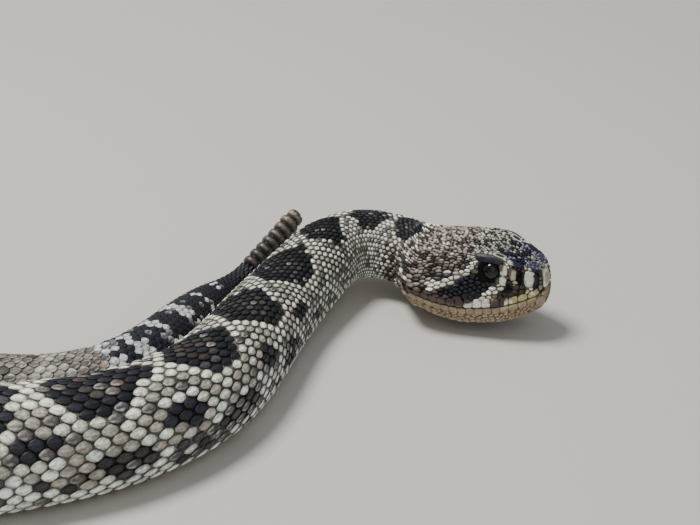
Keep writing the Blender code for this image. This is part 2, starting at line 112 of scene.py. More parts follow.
def runLength(x, y):
    return np.concatenate([[0], np.cumsum(np.hypot(np.diff(x), np.diff(y)))])


def unit(vectors):
    return vectors / np.maximum(np.linalg.norm(vectors, axis=-1, keepdims=True), 1e-12)


# The body's line on the floor and its girth, as the solids have them
course = {
    "middle": (-0.2127, -0.0663),
    "points": [
        (-0.0240, 0.0080), (-0.0320, 0.0120), (-0.0410, 0.0125), (-0.0490, 0.0085),
        (-0.0551, 0.0004), (-0.0612, -0.0115), (-0.0694, -0.0295), (-0.0784, -0.0572),
        (-0.0920, -0.0902), (-0.1168, -0.1133), (-0.1510, -0.1258),
        (-0.2150, -0.1428), (-0.3000, -0.1660), (-0.3850, -0.1430), (-0.4280, -0.0700),
        (-0.3980, 0.0080), (-0.3200, 0.0350), (-0.2480, 0.0050), (-0.2100, -0.0560),
        (-0.1700, -0.0820), (-0.1325, -0.0785), (-0.1130, -0.0590), (-0.0994, -0.0255),
        (-0.0902, -0.0058), (-0.0793, 0.0082),
    ],
    "samples": 4000,
    "neckLift": [(0, 0.0058), (0.014, 0.0061), (0.080, 0), (0.2, 0)],
    "tailLiftLength": 0.022,
    "rattlePitch": math.radians(27.0),
    "neckEnd": 0.10,
    "tailStart": 0.968,
    "torsoLengths": 7,
}
girth = {
    "halfWidth": [
        (0.00, 0.0124), (0.02, 0.0129), (0.05, 0.0140), (0.10, 0.0159), (0.16, 0.0182),
        (0.25, 0.0214), (0.42, 0.0238), (0.60, 0.0238), (0.78, 0.0195), (0.88, 0.0150),
        (0.95, 0.0116), (1.00, 0.0090), (1.03, 0.0062), (1.052, 0.0040), (1.07, 0.0038),
    ],
    "heightToWidth": [(0.0, 0.90), (0.3, 0.85), (0.9, 0.87), (1.05, 0.95)],
    "widestAt": 0.44,
    "backPower": 2.05,
    "flankPower": 2.6,
    "bellyFlatness": 0.08,
}


def layCourse():
    points = np.array(course["points"]) - np.array(course["middle"])
    chord = runLength(*points.T)
    steps = np.linspace(0, chord[-1], course["samples"])
    x = naturalSpline(chord, points[:, 0])(steps)
    y = naturalSpline(chord, points[:, 1])(steps)
    run = runLength(x, y)
    return run, x, y, np.gradient(x, run), np.gradient(y, run)


run, runX, runY, runTx, runTy = layCourse()
bodyLength = run[-1]
halfWidth = smoothProfile(girth["halfWidth"])
heightRatio = smoothProfile(girth["heightToWidth"])
neckLift = smoothProfile(course["neckLift"])


def lift(s):
    tail = np.clip((s - bodyLength + course["tailLiftLength"]) / course["tailLiftLength"], 0, None)
    return neckLift(s) + math.tan(course["rattlePitch"]) * course["tailLiftLength"] / 2 * tail**2


def bodyFrames(s):
    s = np.asarray(s, float)
    tangent = unit(np.stack([np.interp(s, run, runTx), np.interp(s, run, runTy)], -1))
    step = 0.0005
    low = np.clip(s - step, 0, bodyLength - step)
    high = np.clip(s + step, step, bodyLength)
    climb = (lift(high) - lift(low)) / (high - low)
    origin = np.stack([np.interp(s, run, runX), np.interp(s, run, runY), lift(s)], -1)
    back = unit(np.concatenate([tangent, climb[..., None]], -1))
    right = np.stack([-tangent[..., 1], tangent[..., 0], s * 0], -1)
    return origin, back, right, np.cross(back, right)


def unitHalfSection():
    top = np.linspace(0, math.pi / 2, 90)
    backX = np.sin(top) ** (2 / girth["backPower"])
    backZ = girth["widestAt"] + (1 - girth["widestAt"]) * np.cos(top) ** (2 / girth["backPower"])
    depth = girth["widestAt"] * (1 + girth["bellyFlatness"])
    last = math.asin((girth["widestAt"] / depth) ** (girth["flankPower"] / 2))
    low = np.linspace(0, last, 60)[1:]
    flankX = np.cos(low) ** (2 / girth["flankPower"])
    flankZ = girth["widestAt"] - depth * np.sin(low) ** (2 / girth["flankPower"])
    flankZ[-1] = 0
    x = np.concatenate([backX, flankX, [0]])
    z = np.concatenate([backZ, flankZ, [0]])
    x[0] = 0
    share = np.concatenate([[0], np.cumsum(np.hypot(np.diff(x), np.diff(z) * 1.75))])
    return share / share[-1], x, z


halfShare, halfX, halfZ = unitHalfSection()


def bodyHalf(s, share):
    wide = halfWidth(s)
    tall = 2 * wide * heightRatio(s)
    return np.interp(share, halfShare, halfX) * wide, np.interp(share, halfShare, halfZ) * tall


def halfGirth(s):
    wide = halfWidth(s)
    tall = 2 * wide * heightRatio(s)
    return np.hypot(np.diff(halfX)[:, None] * wide, np.diff(halfZ)[:, None] * tall).sum(0)


# The head, in millimetres behind the snout, out to the side, and up from the chin's plane
headShape = {
    "plan": (-0.0253, 0.0007),
    "height": 0.0025,
    "yaw": math.radians(-28.5),
    "pitch": math.radians(5.2),
    "roll": math.radians(2.8),
    "rollCentreMm": 10.0,
    "neckHoldMm": 16.0,
    "lengthMm": 58.0,
    "blendMm": 12.0,
    "shareStationMm": 52.0,
    "lipSwellMm": 1.1,
    "crownZ": [(0, 17.6), (1, 19.2), (3, 20.5), (9, 22.9), (17, 25.6), (28, 26.6), (42, 25.2), (58, 22.3)],
    "browX": [(0, 1.6), (1, 4.0), (3, 6.2), (9, 8.6), (17, 10.8), (28, 11.4), (42, 12.6), (58, 8.0)],
    "browDrop": [(0, 1.3), (3, 1.1), (9, 0.9), (17, 0.7), (28, 2.2), (42, 2.7), (58, 2.6)],
    "cheekX": [
        (0, 2.4), (1, 5.0), (3, 7.2), (9, 9.8), (17, 12.0),
        (28, 16.2), (36, 18.6), (43, 19.4), (49, 18.2), (58, 12.4),
    ],
    "cheekZ": [(0, 14.4), (9, 15.5), (17, 16.0), (30, 15.5), (43, 14.2), (58, 10.4)],
    "lipX": [
        (0, 2.6), (1, 5.4), (3, 7.8), (9, 11.0), (17, 13.8),
        (28, 16.9), (36, 18.8), (43, 19.3), (49, 17.9), (58, 11.8),
    ],
    "lipZ": [
        (0, 10.9), (3, 10.1), (8, 8.6), (15, 7.2), (24, 6.9),
        (35, 9.0), (43, 11.4), (49, 12.1), (58, 9.2),
    ],
    "jawX": [
        (0, 1.0), (1, 3.2), (3, 5.4), (9, 9.4), (17, 12.0),
        (28, 14.6), (36, 15.6), (43, 15.6), (49, 14.2), (58, 10.6),
    ],
    "jawZ": [
        (0, 8.4), (1, 6.4), (3, 4.6), (9, 2.4), (17, 0.9),
        (25, 0.8), (35, 2.6), (43, 5.0), (49, 5.2), (58, 2.2),
    ],
    "chinZ": [
        (0, 8.0), (1, 5.4), (3, 3.0), (9, -0.2), (17, -2.0),
        (25, -2.2), (35, -0.8), (43, 0.9), (50, 1.1), (58, 0.0),
    ],
    "mouthCornerMm": 47.5,
    "mouthLine": 4.5,
    "eyePlaceMm": (16.4, 9.9, 20.1),
    "eyeRadius": 0.0033,
}
outlineNames = ("crownZ", "browX", "browDrop", "cheekX", "cheekZ", "lipX", "lipZ", "jawX", "jawZ", "chinZ")
outlines = [smoothProfile(headShape[name]) for name in outlineNames]


def freeHeadSection(a, v):
    crown, browX, drop, cheekX, cheekZ, lipX, lipZ, jawX, jawZ, chin = [f(a) for f in outlines]
    swell = headShape["lipSwellMm"]
    nought = crown * 0
    path = np.array([
        (-browX * 0.6, crown - drop * 0.25),
        (nought, crown),
        (browX * 0.6, crown - drop * 0.25),
        (browX, crown - drop),
        (cheekX, cheekZ),
        (lipX, lipZ + swell),
        (lipX - 0.3, lipZ - swell),
        (jawX, jawZ),
        (nought, chin),
        (-jawX, jawZ),
    ])
    i = np.clip(np.floor(v).astype(int), 0, 6)
    t = v - i
    p0, p1, p2, p3 = [np.take_along_axis(path, (i + k)[None, None], 0)[0] for k in range(4)]
    spans = [np.maximum(np.hypot(*(q - p)), 1e-6) for p, q in ((p0, p1), (p1, p2), (p2, p3))]
    m1 = (p2 - p0) / (spans[0] + spans[1]) * spans[1]
    m2 = (p3 - p1) / (spans[1] + spans[2]) * spans[1]
    return (
        p1 * (2 * t**3 - 3 * t**2 + 1) + p2 * (3 * t**2 - 2 * t**3)
        + m1 * (t**3 - 2 * t**2 + t) + m2 * (t**3 - t**2)
    )


def shareTable():
    v = np.linspace(0, 7, 281)
    x, z = freeHeadSection(np.full_like(v, headShape["shareStationMm"]), v)
    along = runLength(x, z)
    return v, along / along[-1]


tableV, tableShare = shareTable()


def headSection(a, v):
    x, z = freeHeadSection(a, v)
    neckX, neckZ = bodyHalf(np.zeros(1), np.interp(v, tableV, tableShare))
    ease = smoothStep((a - headShape["lengthMm"] + headShape["blendMm"]) / headShape["blendMm"])
    return x * (1 - ease) + neckX * 1000 * ease, z * (1 - ease) + neckZ * 1000 * ease


def headAxes():
    yaw, pitch = headShape["yaw"], headShape["pitch"]
    plan = np.array(headShape["plan"]) - np.array(course["middle"])
    forward = Vector((math.cos(yaw) * math.cos(pitch), math.sin(yaw) * math.cos(pitch), math.sin(pitch)))
    right = Vector((math.sin(yaw), -math.cos(yaw), 0))
    up = right.cross(forward)
    middle = Vector((*plan, headShape["height"])) + up * headShape["rollCentreMm"] * 0.001
    roll = Matrix.Rotation(headShape["roll"], 3, forward)
    right.rotate(roll)
    up.rotate(roll)
    rear = middle - up * headShape["rollCentreMm"] * 0.001
    return [np.array(vector) for vector in (rear, forward, right, up)]


headRear, headForward, headRight, headUp = headAxes()
neckOrigin, neckBack, neckRight, neckUp = [vectors[0] for vectors in bodyFrames(np.zeros(1))]


def placeOnHead(a, x, z):
    behind = ((a - headShape["lengthMm"]) * 0.001)[..., None]
    x = (x * 0.001)[..., None]
    z = (z * 0.001)[..., None]
    free = headRear - headForward * behind + headRight * x + headUp * z
    held = neckOrigin + neckBack * behind + neckRight * x + neckUp * z
    hold = headShape["neckHoldMm"]
    t = smoothStep((a - headShape["lengthMm"] + hold) / hold)[..., None]
    return free * (1 - t) + held * t


def headSurface(a, v):
    # v runs from the crown, 0, to the chin, 7; it is negative on the snake's left
    side = np.where(v < 0, -1.0, 1.0)
    place = np.abs(v)
    side = np.where(place > 7, -side, side)
    place = np.where(place > 7, 14 - place, place)
    x, z = headSection(a, place)
    return placeOnHead(a, x * side, z)


def skinSurface(s, q):
    # s runs from the back of the head to the tail, and q from the ridge, 0, to the belly, 1 or -1
    side = np.where(q < 0, -1.0, 1.0)
    share = np.abs(q)
    side = np.where(share > 1, -side, side)
    share = np.where(share > 1, 2 - share, share)
    out, high = bodyHalf(s, share)
    origin, _, right, up = bodyFrames(np.maximum(s, 0))
    body = origin + right * (out * side)[..., None] + up * high[..., None]
    if np.min(s) >= 0:
        return body
    a = np.clip(headShape["lengthMm"] + s * 1000, 0, headShape["lengthMm"])
    x, z = headSection(a, np.interp(share, tableShare, tableV))
    return np.where((s < 0)[..., None], placeOnHead(a, x * side, z), body)


def withNormals(surface, m, n, stepM, stepN):
    here = surface(m, n)
    along = surface(m + stepM, n) - surface(m - stepM, n)
    across = surface(m, n + stepN) - surface(m, n - stepN)
    return here, unit(np.cross(along, across))


print("shape of the snake ready, body", round(float(bodyLength), 3), "m")


def makeMesh(name, points, faceSizes, corners, tints, bakeUv):
    mesh = bpy.data.meshes.new(name)
    mesh.vertices.add(len(points))
    mesh.vertices.foreach_set("co", np.asarray(points, np.float32).ravel())
    mesh.loops.add(len(corners))
    mesh.loops.foreach_set("vertex_index", np.asarray(corners, np.int32))
    mesh.polygons.add(len(faceSizes))
    starts = np.concatenate([[0], np.cumsum(faceSizes)[:-1]])
    mesh.polygons.foreach_set("loop_start", np.asarray(starts, np.int32))
    mesh.update(calc_edges=True)
    layer = mesh.color_attributes.new(tintLayer, "FLOAT_COLOR", "POINT")
    colours = np.concatenate([tints, np.ones((len(tints), 1))], 1)
    layer.data.foreach_set("color", np.asarray(colours, np.float32).ravel())
    uv = mesh.uv_layers.new(name=bakeMap)
    uv.data.foreach_set("uv", np.asarray(bakeUv, np.float32).ravel())
    mesh.polygons.foreach_set("use_smooth", np.ones(len(faceSizes), bool))
    mesh.update()
    obj = bpy.data.objects.new(name, mesh)
    bpy.context.scene.collection.objects.link(obj)
    return obj


def plateGrid(u, w):
    # a grid on top, walls down from its rim, and one flat underside
    rows, columns = len(u), len(w)
    index = np.arange(rows * columns).reshape(rows, columns)
    rim = np.concatenate([index[0], index[1:, -1], index[-1, -2::-1], index[-2:0:-1, 0]])
    count = len(rim)
    root = np.arange(count) + rows * columns
    quads = np.stack([index[:-1, :-1], index[1:, :-1], index[1:, 1:], index[:-1, 1:]], -1).reshape(-1, 4)
    walls = np.stack([rim, np.roll(rim, -1), np.roll(root, -1), root], -1)
    faceSizes = np.concatenate([np.full(len(quads) + count, 4), [count]])
    return np.repeat(u, columns), np.tile(w, rows), rim, root, quads, walls, faceSizes


def plateUv(flat, rim, root, corners):
    onTop = np.concatenate([flat, flat[rim] * 1.22])
    under = onTop.copy()
    under[root] = flat[rim] * 0.3
    top = len(corners) - len(rim)
    return np.concatenate([onTop[corners[:top]], under[corners[top:]] + [0, 0.75]])


def tubeFaces(rows, columns):
    index = np.arange(rows * columns).reshape(rows, columns)
    turned = np.roll(index, -1, 1)
    return index, turned, np.stack([index[:-1], index[1:], turned[1:], turned[:-1]], -1)


def tubeUv(along, around):
    one = np.stack(np.meshgrid(along, around[:-1], indexing="ij"), -1)
    two = np.stack(np.meshgrid(along, around[1:], indexing="ij"), -1)
    return np.stack([one[:-1], one[1:], two[1:], two[:-1]], 2)


def copiesOf(template, places):
    # repeats the faces of one plate for every place, with its own small patch of the bake map
    count = len(places)
    size = template["size"]
    corners = (np.arange(count)[:, None] * size + template["corners"][None]).ravel()
    faceSizes = np.tile(template["faceSizes"], count)
    uv = (places[:, None] + template["uv"][None]).reshape(-1, 2)
    return faceSizes, corners, uv


# Every scale of the trunk is a keeled plate: sunk at its front, free at its rear
scaleForm = {
    "stations": [0.0, 0.14, 0.34, 0.56, 0.78, 0.93, 1.0],
    "ribs": [-1.0, -0.58, -0.17, 0.0, 0.17, 0.58, 1.0],
    "skinDepthMm": 0.40,
    "rootMm": 0.55,
    "domeMm": 0.07,
    "keelMm": 0.26,
    "keelSpread": 0.15,
    "patch": 0.0030,
}


def scaleTemplate(form):
    u = np.array(form["stations"])
    w = np.array(form["ribs"])
    uu, ww, rim, root, quads, walls, faceSizes = plateGrid(u, w)
    frontal = np.sqrt(np.clip(1 - (1 - u / 0.42) ** 2, 0, 1))
    rearward = (1 - np.clip((u - 0.42) / 0.58, 0, 1) ** 1.8) ** 0.72
    breadth = np.where(u < 0.42, frontal, rearward) * 0.94 + 0.06
    bb = np.repeat(breadth, len(w))
    rise = smoothStep(uu / 0.75)
    keel = np.exp(-((ww / form["keelSpread"]) ** 2)) * smoothStep(uu / 0.3) * (1 - 0.5 * uu**4)
    height = -form["skinDepthMm"] + form["skinDepthMm"] * 0.92 * rise
    height = height + form["domeMm"] * (1 - ww**2) * smoothStep(uu / 0.2) + form["keelMm"] * keel
    height = height - 0.14 * smoothStep((uu - 0.85) / 0.15)
    count = len(rim)
    corners = np.concatenate([quads.ravel(), walls.ravel(), root[::-1]])
    u = np.concatenate([uu, 0.5 + (uu[rim] - 0.5) * 0.9])
    w = np.concatenate([ww * bb, ww[rim] * bb[rim] * 0.86])
    height = np.concatenate([height, np.full(count, -form["rootMm"])])
    edge = np.maximum(smoothStep((np.abs(ww) - 0.5) / 0.5), smoothStep((uu - 0.86) / 0.14))
    shade = (1 - 0.62 * edge) * (0.55 + 0.45 * smoothStep(uu / 0.35))
    shade = np.concatenate([shade, np.full(count, 0.12)])
    # crest is the keel's height; it also lightens the keel as a painted highlight
    crest = np.concatenate([keel * form["keelMm"], np.zeros(count)])
    pale = smoothStep(1 - np.abs(np.abs(ww) - 0.58) / 0.35) + smoothStep(1 - np.abs(uu - 0.9) / 0.12)
    pale = np.concatenate([np.clip(pale, 0, 1) * smoothStep((uu - 0.3) / 0.3), np.zeros(count)])
    flat = np.stack([uu - 0.5, ww / 2], -1) * 0.8
    uv = plateUv(flat, rim, root, corners)
    return {
        "size": len(u), "u": u, "w": w, "height": height, "shade": shade, "crest": crest, "pale": pale,
        "corners": corners, "faceSizes": faceSizes, "uv": uv * form["patch"],
    }


# Where the scales lie on the trunk
lattice = {
    "start": -0.0042,
    "bellyShare": 0.735,
    "rows": [
        (-0.02, 18.2), (0.02, 17.6), (0.06, 15.6), (0.10, 14.3), (0.15, 13.4),
        (0.22, 12.6), (0.55, 12.0), (0.80, 11.0), (0.95, 10.2), (1.06, 8.6),
    ],
    "pitch": [
        (-0.02, 0.0020), (0.0, 0.0021), (0.03, 0.0026), (0.06, 0.0033), (0.10, 0.0040),
        (0.14, 0.0045), (0.21, 0.0048), (0.3, 0.0051), (0.7, 0.0052), (0.9, 0.0037),
        (0.97, 0.0031), (1.06, 0.0025),
    ],
    "length": [(-0.02, 0.82), (0.05, 0.84), (0.12, 0.94), (0.3, 1.05), (1.06, 1.10)],
    "breadth": [(-0.02, 0.48), (0.05, 0.49), (0.12, 0.55), (0.2, 0.65), (0.3, 0.70), (1.06, 0.78)],
    "stretchEnd": 0.012,
    "stretchTwin": 1.35,
    "closest": 0.00115,
    "thinEnd": 0.003,
    "sideGap": 0.55,
    "fullPitch": 0.0054,
    "shuffle": 0.0004,
    "tilt": 0.12,
    "size": (0.95, 0.1),
    "tone": (0.82, 0.36),
    "grain": (0.66, 0.68),
}
rowCount = smoothProfile(lattice["rows"])
scalePitch = smoothProfile(lattice["pitch"])
scaleLength = smoothProfile(lattice["length"])
scaleBreadth = smoothProfile(lattice["breadth"])

# Dark diamonds along the back with cream edges, smaller blotches below, and rings on the tail
markings = {
    "bands": [-0.0100, 0.0050, 0.0225, 0.0430, 0.0810, 0.1150, 0.1510, 0.1930],
    "laterPitch": 0.044,
    "laterBands": 22,
    "rowsToBelly": 12.5,
    "halfRows": [
        (-0.02, 3.6), (0.02, 4.0), (0.06, 4.5), (0.1, 4.4), (0.13, 3.6), (0.18, 4.0), (0.2, 5.7),
        (0.4, 5.8), (0.9, 5.4), (1.06, 5.0),
    ],
    "lean": 0.55,
    "bandHalf": 0.16,
    "edgeRows": 0.98,
    "tailFrom": 0.9565,
    "fadeFrom": 0.80,
    "fadeOver": 0.10,
    "tailBands": [0.9596, 0.9708, 0.9844, 0.9995, 1.0145, 1.0296],
    "tailBandHalf": 0.0027,
    "dark": paint(25, 25, 32),
    "speck": paint(72, 70, 76),
    "heart": paint(118, 106, 98),
    "rust": paint(112, 88, 80),
    "cream": paint(236, 234, 216),
    "flank": paint(164, 157, 144),
    "flankDark": paint(88, 83, 81),
    "flankPale": paint(222, 220, 208),
    "low": paint(234, 238, 228),
    "blotch": paint(52, 48, 50),
    "ash": paint(200, 203, 200),
    "belly": paint(214, 204, 176),
    "bellySmudge": paint(96, 92, 88),
    "faded": paint(122, 112, 101),
    "foldDark": paint(66, 58, 54),
    "foldPale": paint(144, 132, 121),
}
laterBands = [markings["bands"][-1] + markings["laterPitch"] * (k + 1) for k in range(markings["laterBands"])]
bandPlaces = np.array(markings["bands"] + laterBands)
diamondRows = smoothProfile(markings["halfRows"])


# How likely a scale takes a colour; Back and Neck are what is added or taken off there
chances = {
    "pale": 0.30, "paleNeck": 0.22, "paleLow": 0.45, "paleBelly": 0.12,
    "darkFrom": 0.90, "darkNeck": 0.16, "darkBack": 0.12,
    "paleRow": 0.72, "lowRow": 0.84, "halo": 0.65,
    "upper": 0.78, "upperBack": 0.36, "lower": 0.42, "lowerBack": 0.10, "middle": 0.8,
    "bridge": 0.85, "edge": 0.94, "diamond": 0.97, "speckFrom": 0.9, "tailSpeckFrom": 0.88,
    "heart": 0.85, "rust": 0.4, "fold": 0.75, "foldDark": 0.50,
    "ring": 0.92, "lateRing": 0.25, "smudge": 0.25,
}
# The side blotches: how narrow they are, their middle row and half their rows
blotches = {"upper": (1.9, 8.8, 1.5), "lower": (2.2, 9.7, 1.35), "middle": (3.2, 6.1, 1.2)}


def blotchReach(name, along, row):
    narrow, middle, half = blotches[name]
    return np.hypot(along * narrow, (row - middle) / half)


def trunkTint(s, q, chance, other):
    # the colour of a scale or a spot of skin; chance and other are its own random draws
    row = np.abs(q) / lattice["bellyShare"] * markings["rowsToBelly"]
    i = np.clip(np.searchsorted(bandPlaces, s) - 1, 0, len(bandPlaces) - 2)
    phase = np.clip((s - bandPlaces[i]) / (bandPlaces[i + 1] - bandPlaces[i]), 0, 1)
    toBand = np.abs(2 * phase - 1)
    wide = diamondRows(s)
    side = row / wide
    slant = (toBand + markings["lean"] * np.where(s > 0.19, 0.5, 1) * side) / (1 - markings["bandHalf"])
    reach = np.maximum(side, slant) + (other - 0.5) * 0.07
    nearNeck = smoothStep((0.075 - s) / 0.05)
    lowPale = smoothStep((row - 6.0) / 2.5) * (1 - smoothStep((s - 0.14) / 0.04))
    palePart = chances["pale"] + chances["paleNeck"] * nearNeck + chances["paleLow"] * lowPale
    palePart = palePart + chances["paleBelly"] * (row > 7.5)
    tint = lay(markings["flank"], chance < palePart, markings["flankPale"])
    farBack = smoothStep((s - 0.17) / 0.03)
    tint = tint * (1 - 0.04 * farBack)[:, None]
    darkFrom = chances["darkFrom"] - chances["darkNeck"] * nearNeck - chances["darkBack"] * farBack
    tint = lay(tint, chance > darkFrom, markings["flankDark"])
    tint = lay(tint, (row > 9.4) & (chance < chances["paleRow"]), markings["flankPale"])
    tint = lay(tint, (row > 10.3) & (chance < chances["lowRow"]), markings["low"])
    blotch = blotchReach("upper", toBand, row)
    lower = blotchReach("lower", 1 - toBand, row)
    middle = blotchReach("middle", 1 - toBand, row)
    halo = (blotch >= 1) & (blotch < 1.7) & (row > 6.8) & (chance < chances["halo"])
    tint = lay(tint, halo, markings["low"])
    pastNeck = s > 0.06 + other * 0.02
    third = (chance * 37.7 + other * 17.3) % 1
    murky = markings["blotch"] * ((0.75 + 2.2 * third**2) * (1 + 0.6 * farBack))[:, None]
    upper = (blotch < 1 + 0.3 * (third - 0.5)) & (chance < chances["upper"] - chances["upperBack"] * farBack)
    tint = lay(tint, upper & pastNeck, murky)
    lower = (lower < 1) & (chance < chances["lower"] - chances["lowerBack"] * farBack)
    tint = lay(tint, lower & pastNeck, murky * 0.9)
    tint = lay(tint, (middle < 1) & (chance < chances["middle"]) & pastNeck, markings["dark"] * 1.8)
    bridge = (row < 2.3) & (toBand > 0.55) & (chance < chances["bridge"])
    tint = lay(tint, bridge, markings["cream"])
    edge = (reach >= 1) & (reach < 1 + markings["edgeRows"] / wide)
    tint = lay(tint, edge & (chance < chances["edge"]), markings["cream"])
    soot = markings["dark"] * (0.75 + 1.7 * third**3)[:, None]
    soot = lay(soot, third > chances["speckFrom"], markings["speck"])
    tint = lay(tint, (reach < 1) & (chance < chances["diamond"]), soot)
    heart = (reach < 0.60 + 0.10 * farBack) & (toBand < 0.55 + 0.08 * farBack)
    lateHeart = smoothStep((s - 0.05) / 0.12)
    warm = lay(markings["heart"], other < chances["rust"], markings["rust"])
    share = ((0.15 + 0.6 * third) * (0.35 + 0.65 * lateHeart))[:, None]
    tint = lay(tint, heart & (chance < chances["heart"]), tint * (1 - share) + warm * share)
    fold = (s > -0.012) & (s < 0.003) & (row > 5.2) & (other < chances["fold"])
    brown = lay(markings["foldPale"], chance < chances["foldDark"], markings["foldDark"])
    tint = lay(tint, fold, brown)
    fade = smoothStep((s - markings["fadeFrom"]) / markings["fadeOver"]) * (0.55 + 0.4 * third)
    tint = tint * (1 - fade)[:, None] + (markings["faded"] * (0.5 + 0.95 * other)[:, None]) * fade[:, None]
    gap = np.min(np.abs(s[:, None] - np.array(markings["tailBands"])[None]), 1) + (other - 0.5) * 0.0012
    strong = np.where(s > 1.010, chances["lateRing"], chances["ring"])
    banded = (gap < markings["tailBandHalf"]) & (chance < strong)
    tailTint = lay(markings["dark"] * 1.2, banded, markings["ash"])
    tailTint = lay(tailTint, third > chances["tailSpeckFrom"], markings["speck"] * 1.5)
    tint = lay(tint, s > markings["tailFrom"], tailTint)
    under = lay(markings["belly"], other < chances["smudge"], markings["bellySmudge"])
    return lay(tint, np.abs(q) > lattice["bellyShare"], under)


def skinStretch(s, q):
    # how much longer and wider the skin is than s and q say, which counts where the head narrows to the neck
    step = 0.0004
    along = np.linalg.norm(skinSurface(s + step, q) - skinSurface(s - step, q), axis=-1) / (2 * step)
    across = np.linalg.norm(skinSurface(s, q + step) - skinSurface(s, q - step), axis=-1)
    around = across / (2 * step * halfGirth(s))
    near = s < lattice["stretchEnd"]
    return np.where(near, np.clip(along, 1, 3), 1), np.where(near, np.clip(around, 0.9, 2), 1)


def varied(name, count):
    # a random factor for each scale: the least one, and how far it reaches above that
    least, span = lattice[name]
    return least + span * dice.random(count)


def buildTrunkScales():
    template = scaleTemplate(scaleForm)
    stations = [lattice["start"]]
    while stations[-1] < bodyLength - 0.0022:
        stations.append(stations[-1] + float(scalePitch(stations[-1])) / 2)
    s, row = [], []
    for k, station in enumerate(stations):
        widest = int(math.floor(float(rowCount(station)) + 0.3))
        for j in range(-widest, widest + 1):
            if (j + k) % 2 == 0:
                s.append(station)
                row.append(j)
    s = np.array(s)
    row = np.array(row, float)
    q = row / (rowCount(s) + lattice["sideGap"]) * lattice["bellyShare"]
    twins = (s < lattice["stretchEnd"]) & (skinStretch(s, q)[0] > lattice["stretchTwin"])
    s = np.concatenate([s, s[twins] + scalePitch(s[twins]) / 2])
    row = np.concatenate([row, row[twins]])
    q = row / (rowCount(s) + lattice["sideGap"]) * lattice["bellyShare"]
    places = skinSurface(s, q)
    kept = []
    for i in np.where(s < lattice["thinEnd"])[0]:
        if not kept or np.linalg.norm(places[kept] - places[i], axis=1).min() > lattice["closest"]:
            kept.append(i)
    kept += list(np.where(s >= lattice["thinEnd"])[0])
    s, row, q = s[kept], row[kept], q[kept]
    longer, wider = skinStretch(s, q)
    chance = dice.random(len(s))
    other = dice.random(len(s))
    tint = trunkTint(s, q, chance, other) * varied("tone", len(s))[:, None]
    s = s + (dice.random(len(s)) - 0.5) * lattice["shuffle"]
    pitch = scalePitch(s)
    around = halfGirth(s) * lattice["bellyShare"] / (rowCount(s) + lattice["sideGap"])
    length = pitch * scaleLength(s) * varied("size", len(s)) / longer
    half = around * scaleBreadth(s) * varied("size", len(s)) / wider
    half = np.where(np.abs(row) >= np.floor(rowCount(s)) - 0.5, half * 1.1, half)
    tall = np.clip(pitch / lattice["fullPitch"], 0.7, 1.05)
    tilt = (dice.random(len(s)) - 0.5) * lattice["tilt"]
    spotS = s[:, None] + (template["u"] - 0.5)[None] * length[:, None]
    sway = template["w"][None] * half[:, None] + (template["u"] - 0.5)[None] * (tilt * length)[:, None]
    spotQ = q[:, None] + sway / halfGirth(s)[:, None]
    here, normal = withNormals(skinSurface, spotS.ravel(), spotQ.ravel(), 0.0004, 0.004)
    height = (template["height"][None] * tall[:, None]).ravel() * 0.001
    points = here + normal * height[:, None]
    shade = np.tile(template["shade"], len(s))[:, None]
    crest = np.tile(template["crest"], len(s))[:, None]
    speck = varied("grain", (len(s) * template["size"], 1))
    pale = np.tile(template["pale"], len(s))[:, None]
    grey = np.abs(tint @ np.array([0.3, 0.6, 0.1]) - 0.2) < 0.14
    pale = pale * np.repeat(grey, template["size"])[:, None] * (0.15 + 0.6 * dice.random((len(pale), 1)))
    tints = np.repeat(tint, template["size"], 0)
    tints = tints * (1 - pale) + markings["flankPale"] * pale
    # shade darkens each scale's edges and sunk front as painted shade; crest lightens the keel as a painted
    # highlight
    tints = tints * shade * (1 + 1.6 * crest) * speck
    cuts = [lattice["start"] - 1, course["neckEnd"]]
    step = (course["tailStart"] - course["neckEnd"]) / course["torsoLengths"]
    cuts += [course["neckEnd"] + step * (k + 1) for k in range(course["torsoLengths"])] + [bodyLength + 1]
    names = ["neck"] + [f"torso_{k + 1}" for k in range(course["torsoLengths"])] + ["tail"]
    size = template["size"]
    pieces = []
    for name, low, high in zip(names, cuts[:-1], cuts[1:]):
        mine = np.where((s >= low) & (s < high))[0]
        spread = max(s[mine].max() - s[mine].min(), 1e-6)
        place = np.stack([0.03 + 0.94 * (s[mine] - s[mine].min()) / spread, 0.5 + q[mine] * 0.46], -1)
        faceSizes, corners, uv = copiesOf(template, place)
        keep = (mine[:, None] * size + np.arange(size)[None]).ravel()
        pieces.append((makeMesh(name + "_scales", points[keep], faceSizes, corners, tints[keep], uv), name))
    print("trunk scales", len(s), "in", len(pieces), "lengths")
    return pieces


# The belly's broad scutes
scutes = {
    "stations": [0.0, 0.2, 0.55, 0.86, 1.0],
    "ribs": 15,
    "start": 0.003,
    "length": 1.22,
    "outer": 0.715,
    "rootMm": 0.66,
    "frontMm": 0.58,
    "rearMm": 0.06,
    "patch": 0.0040,
}


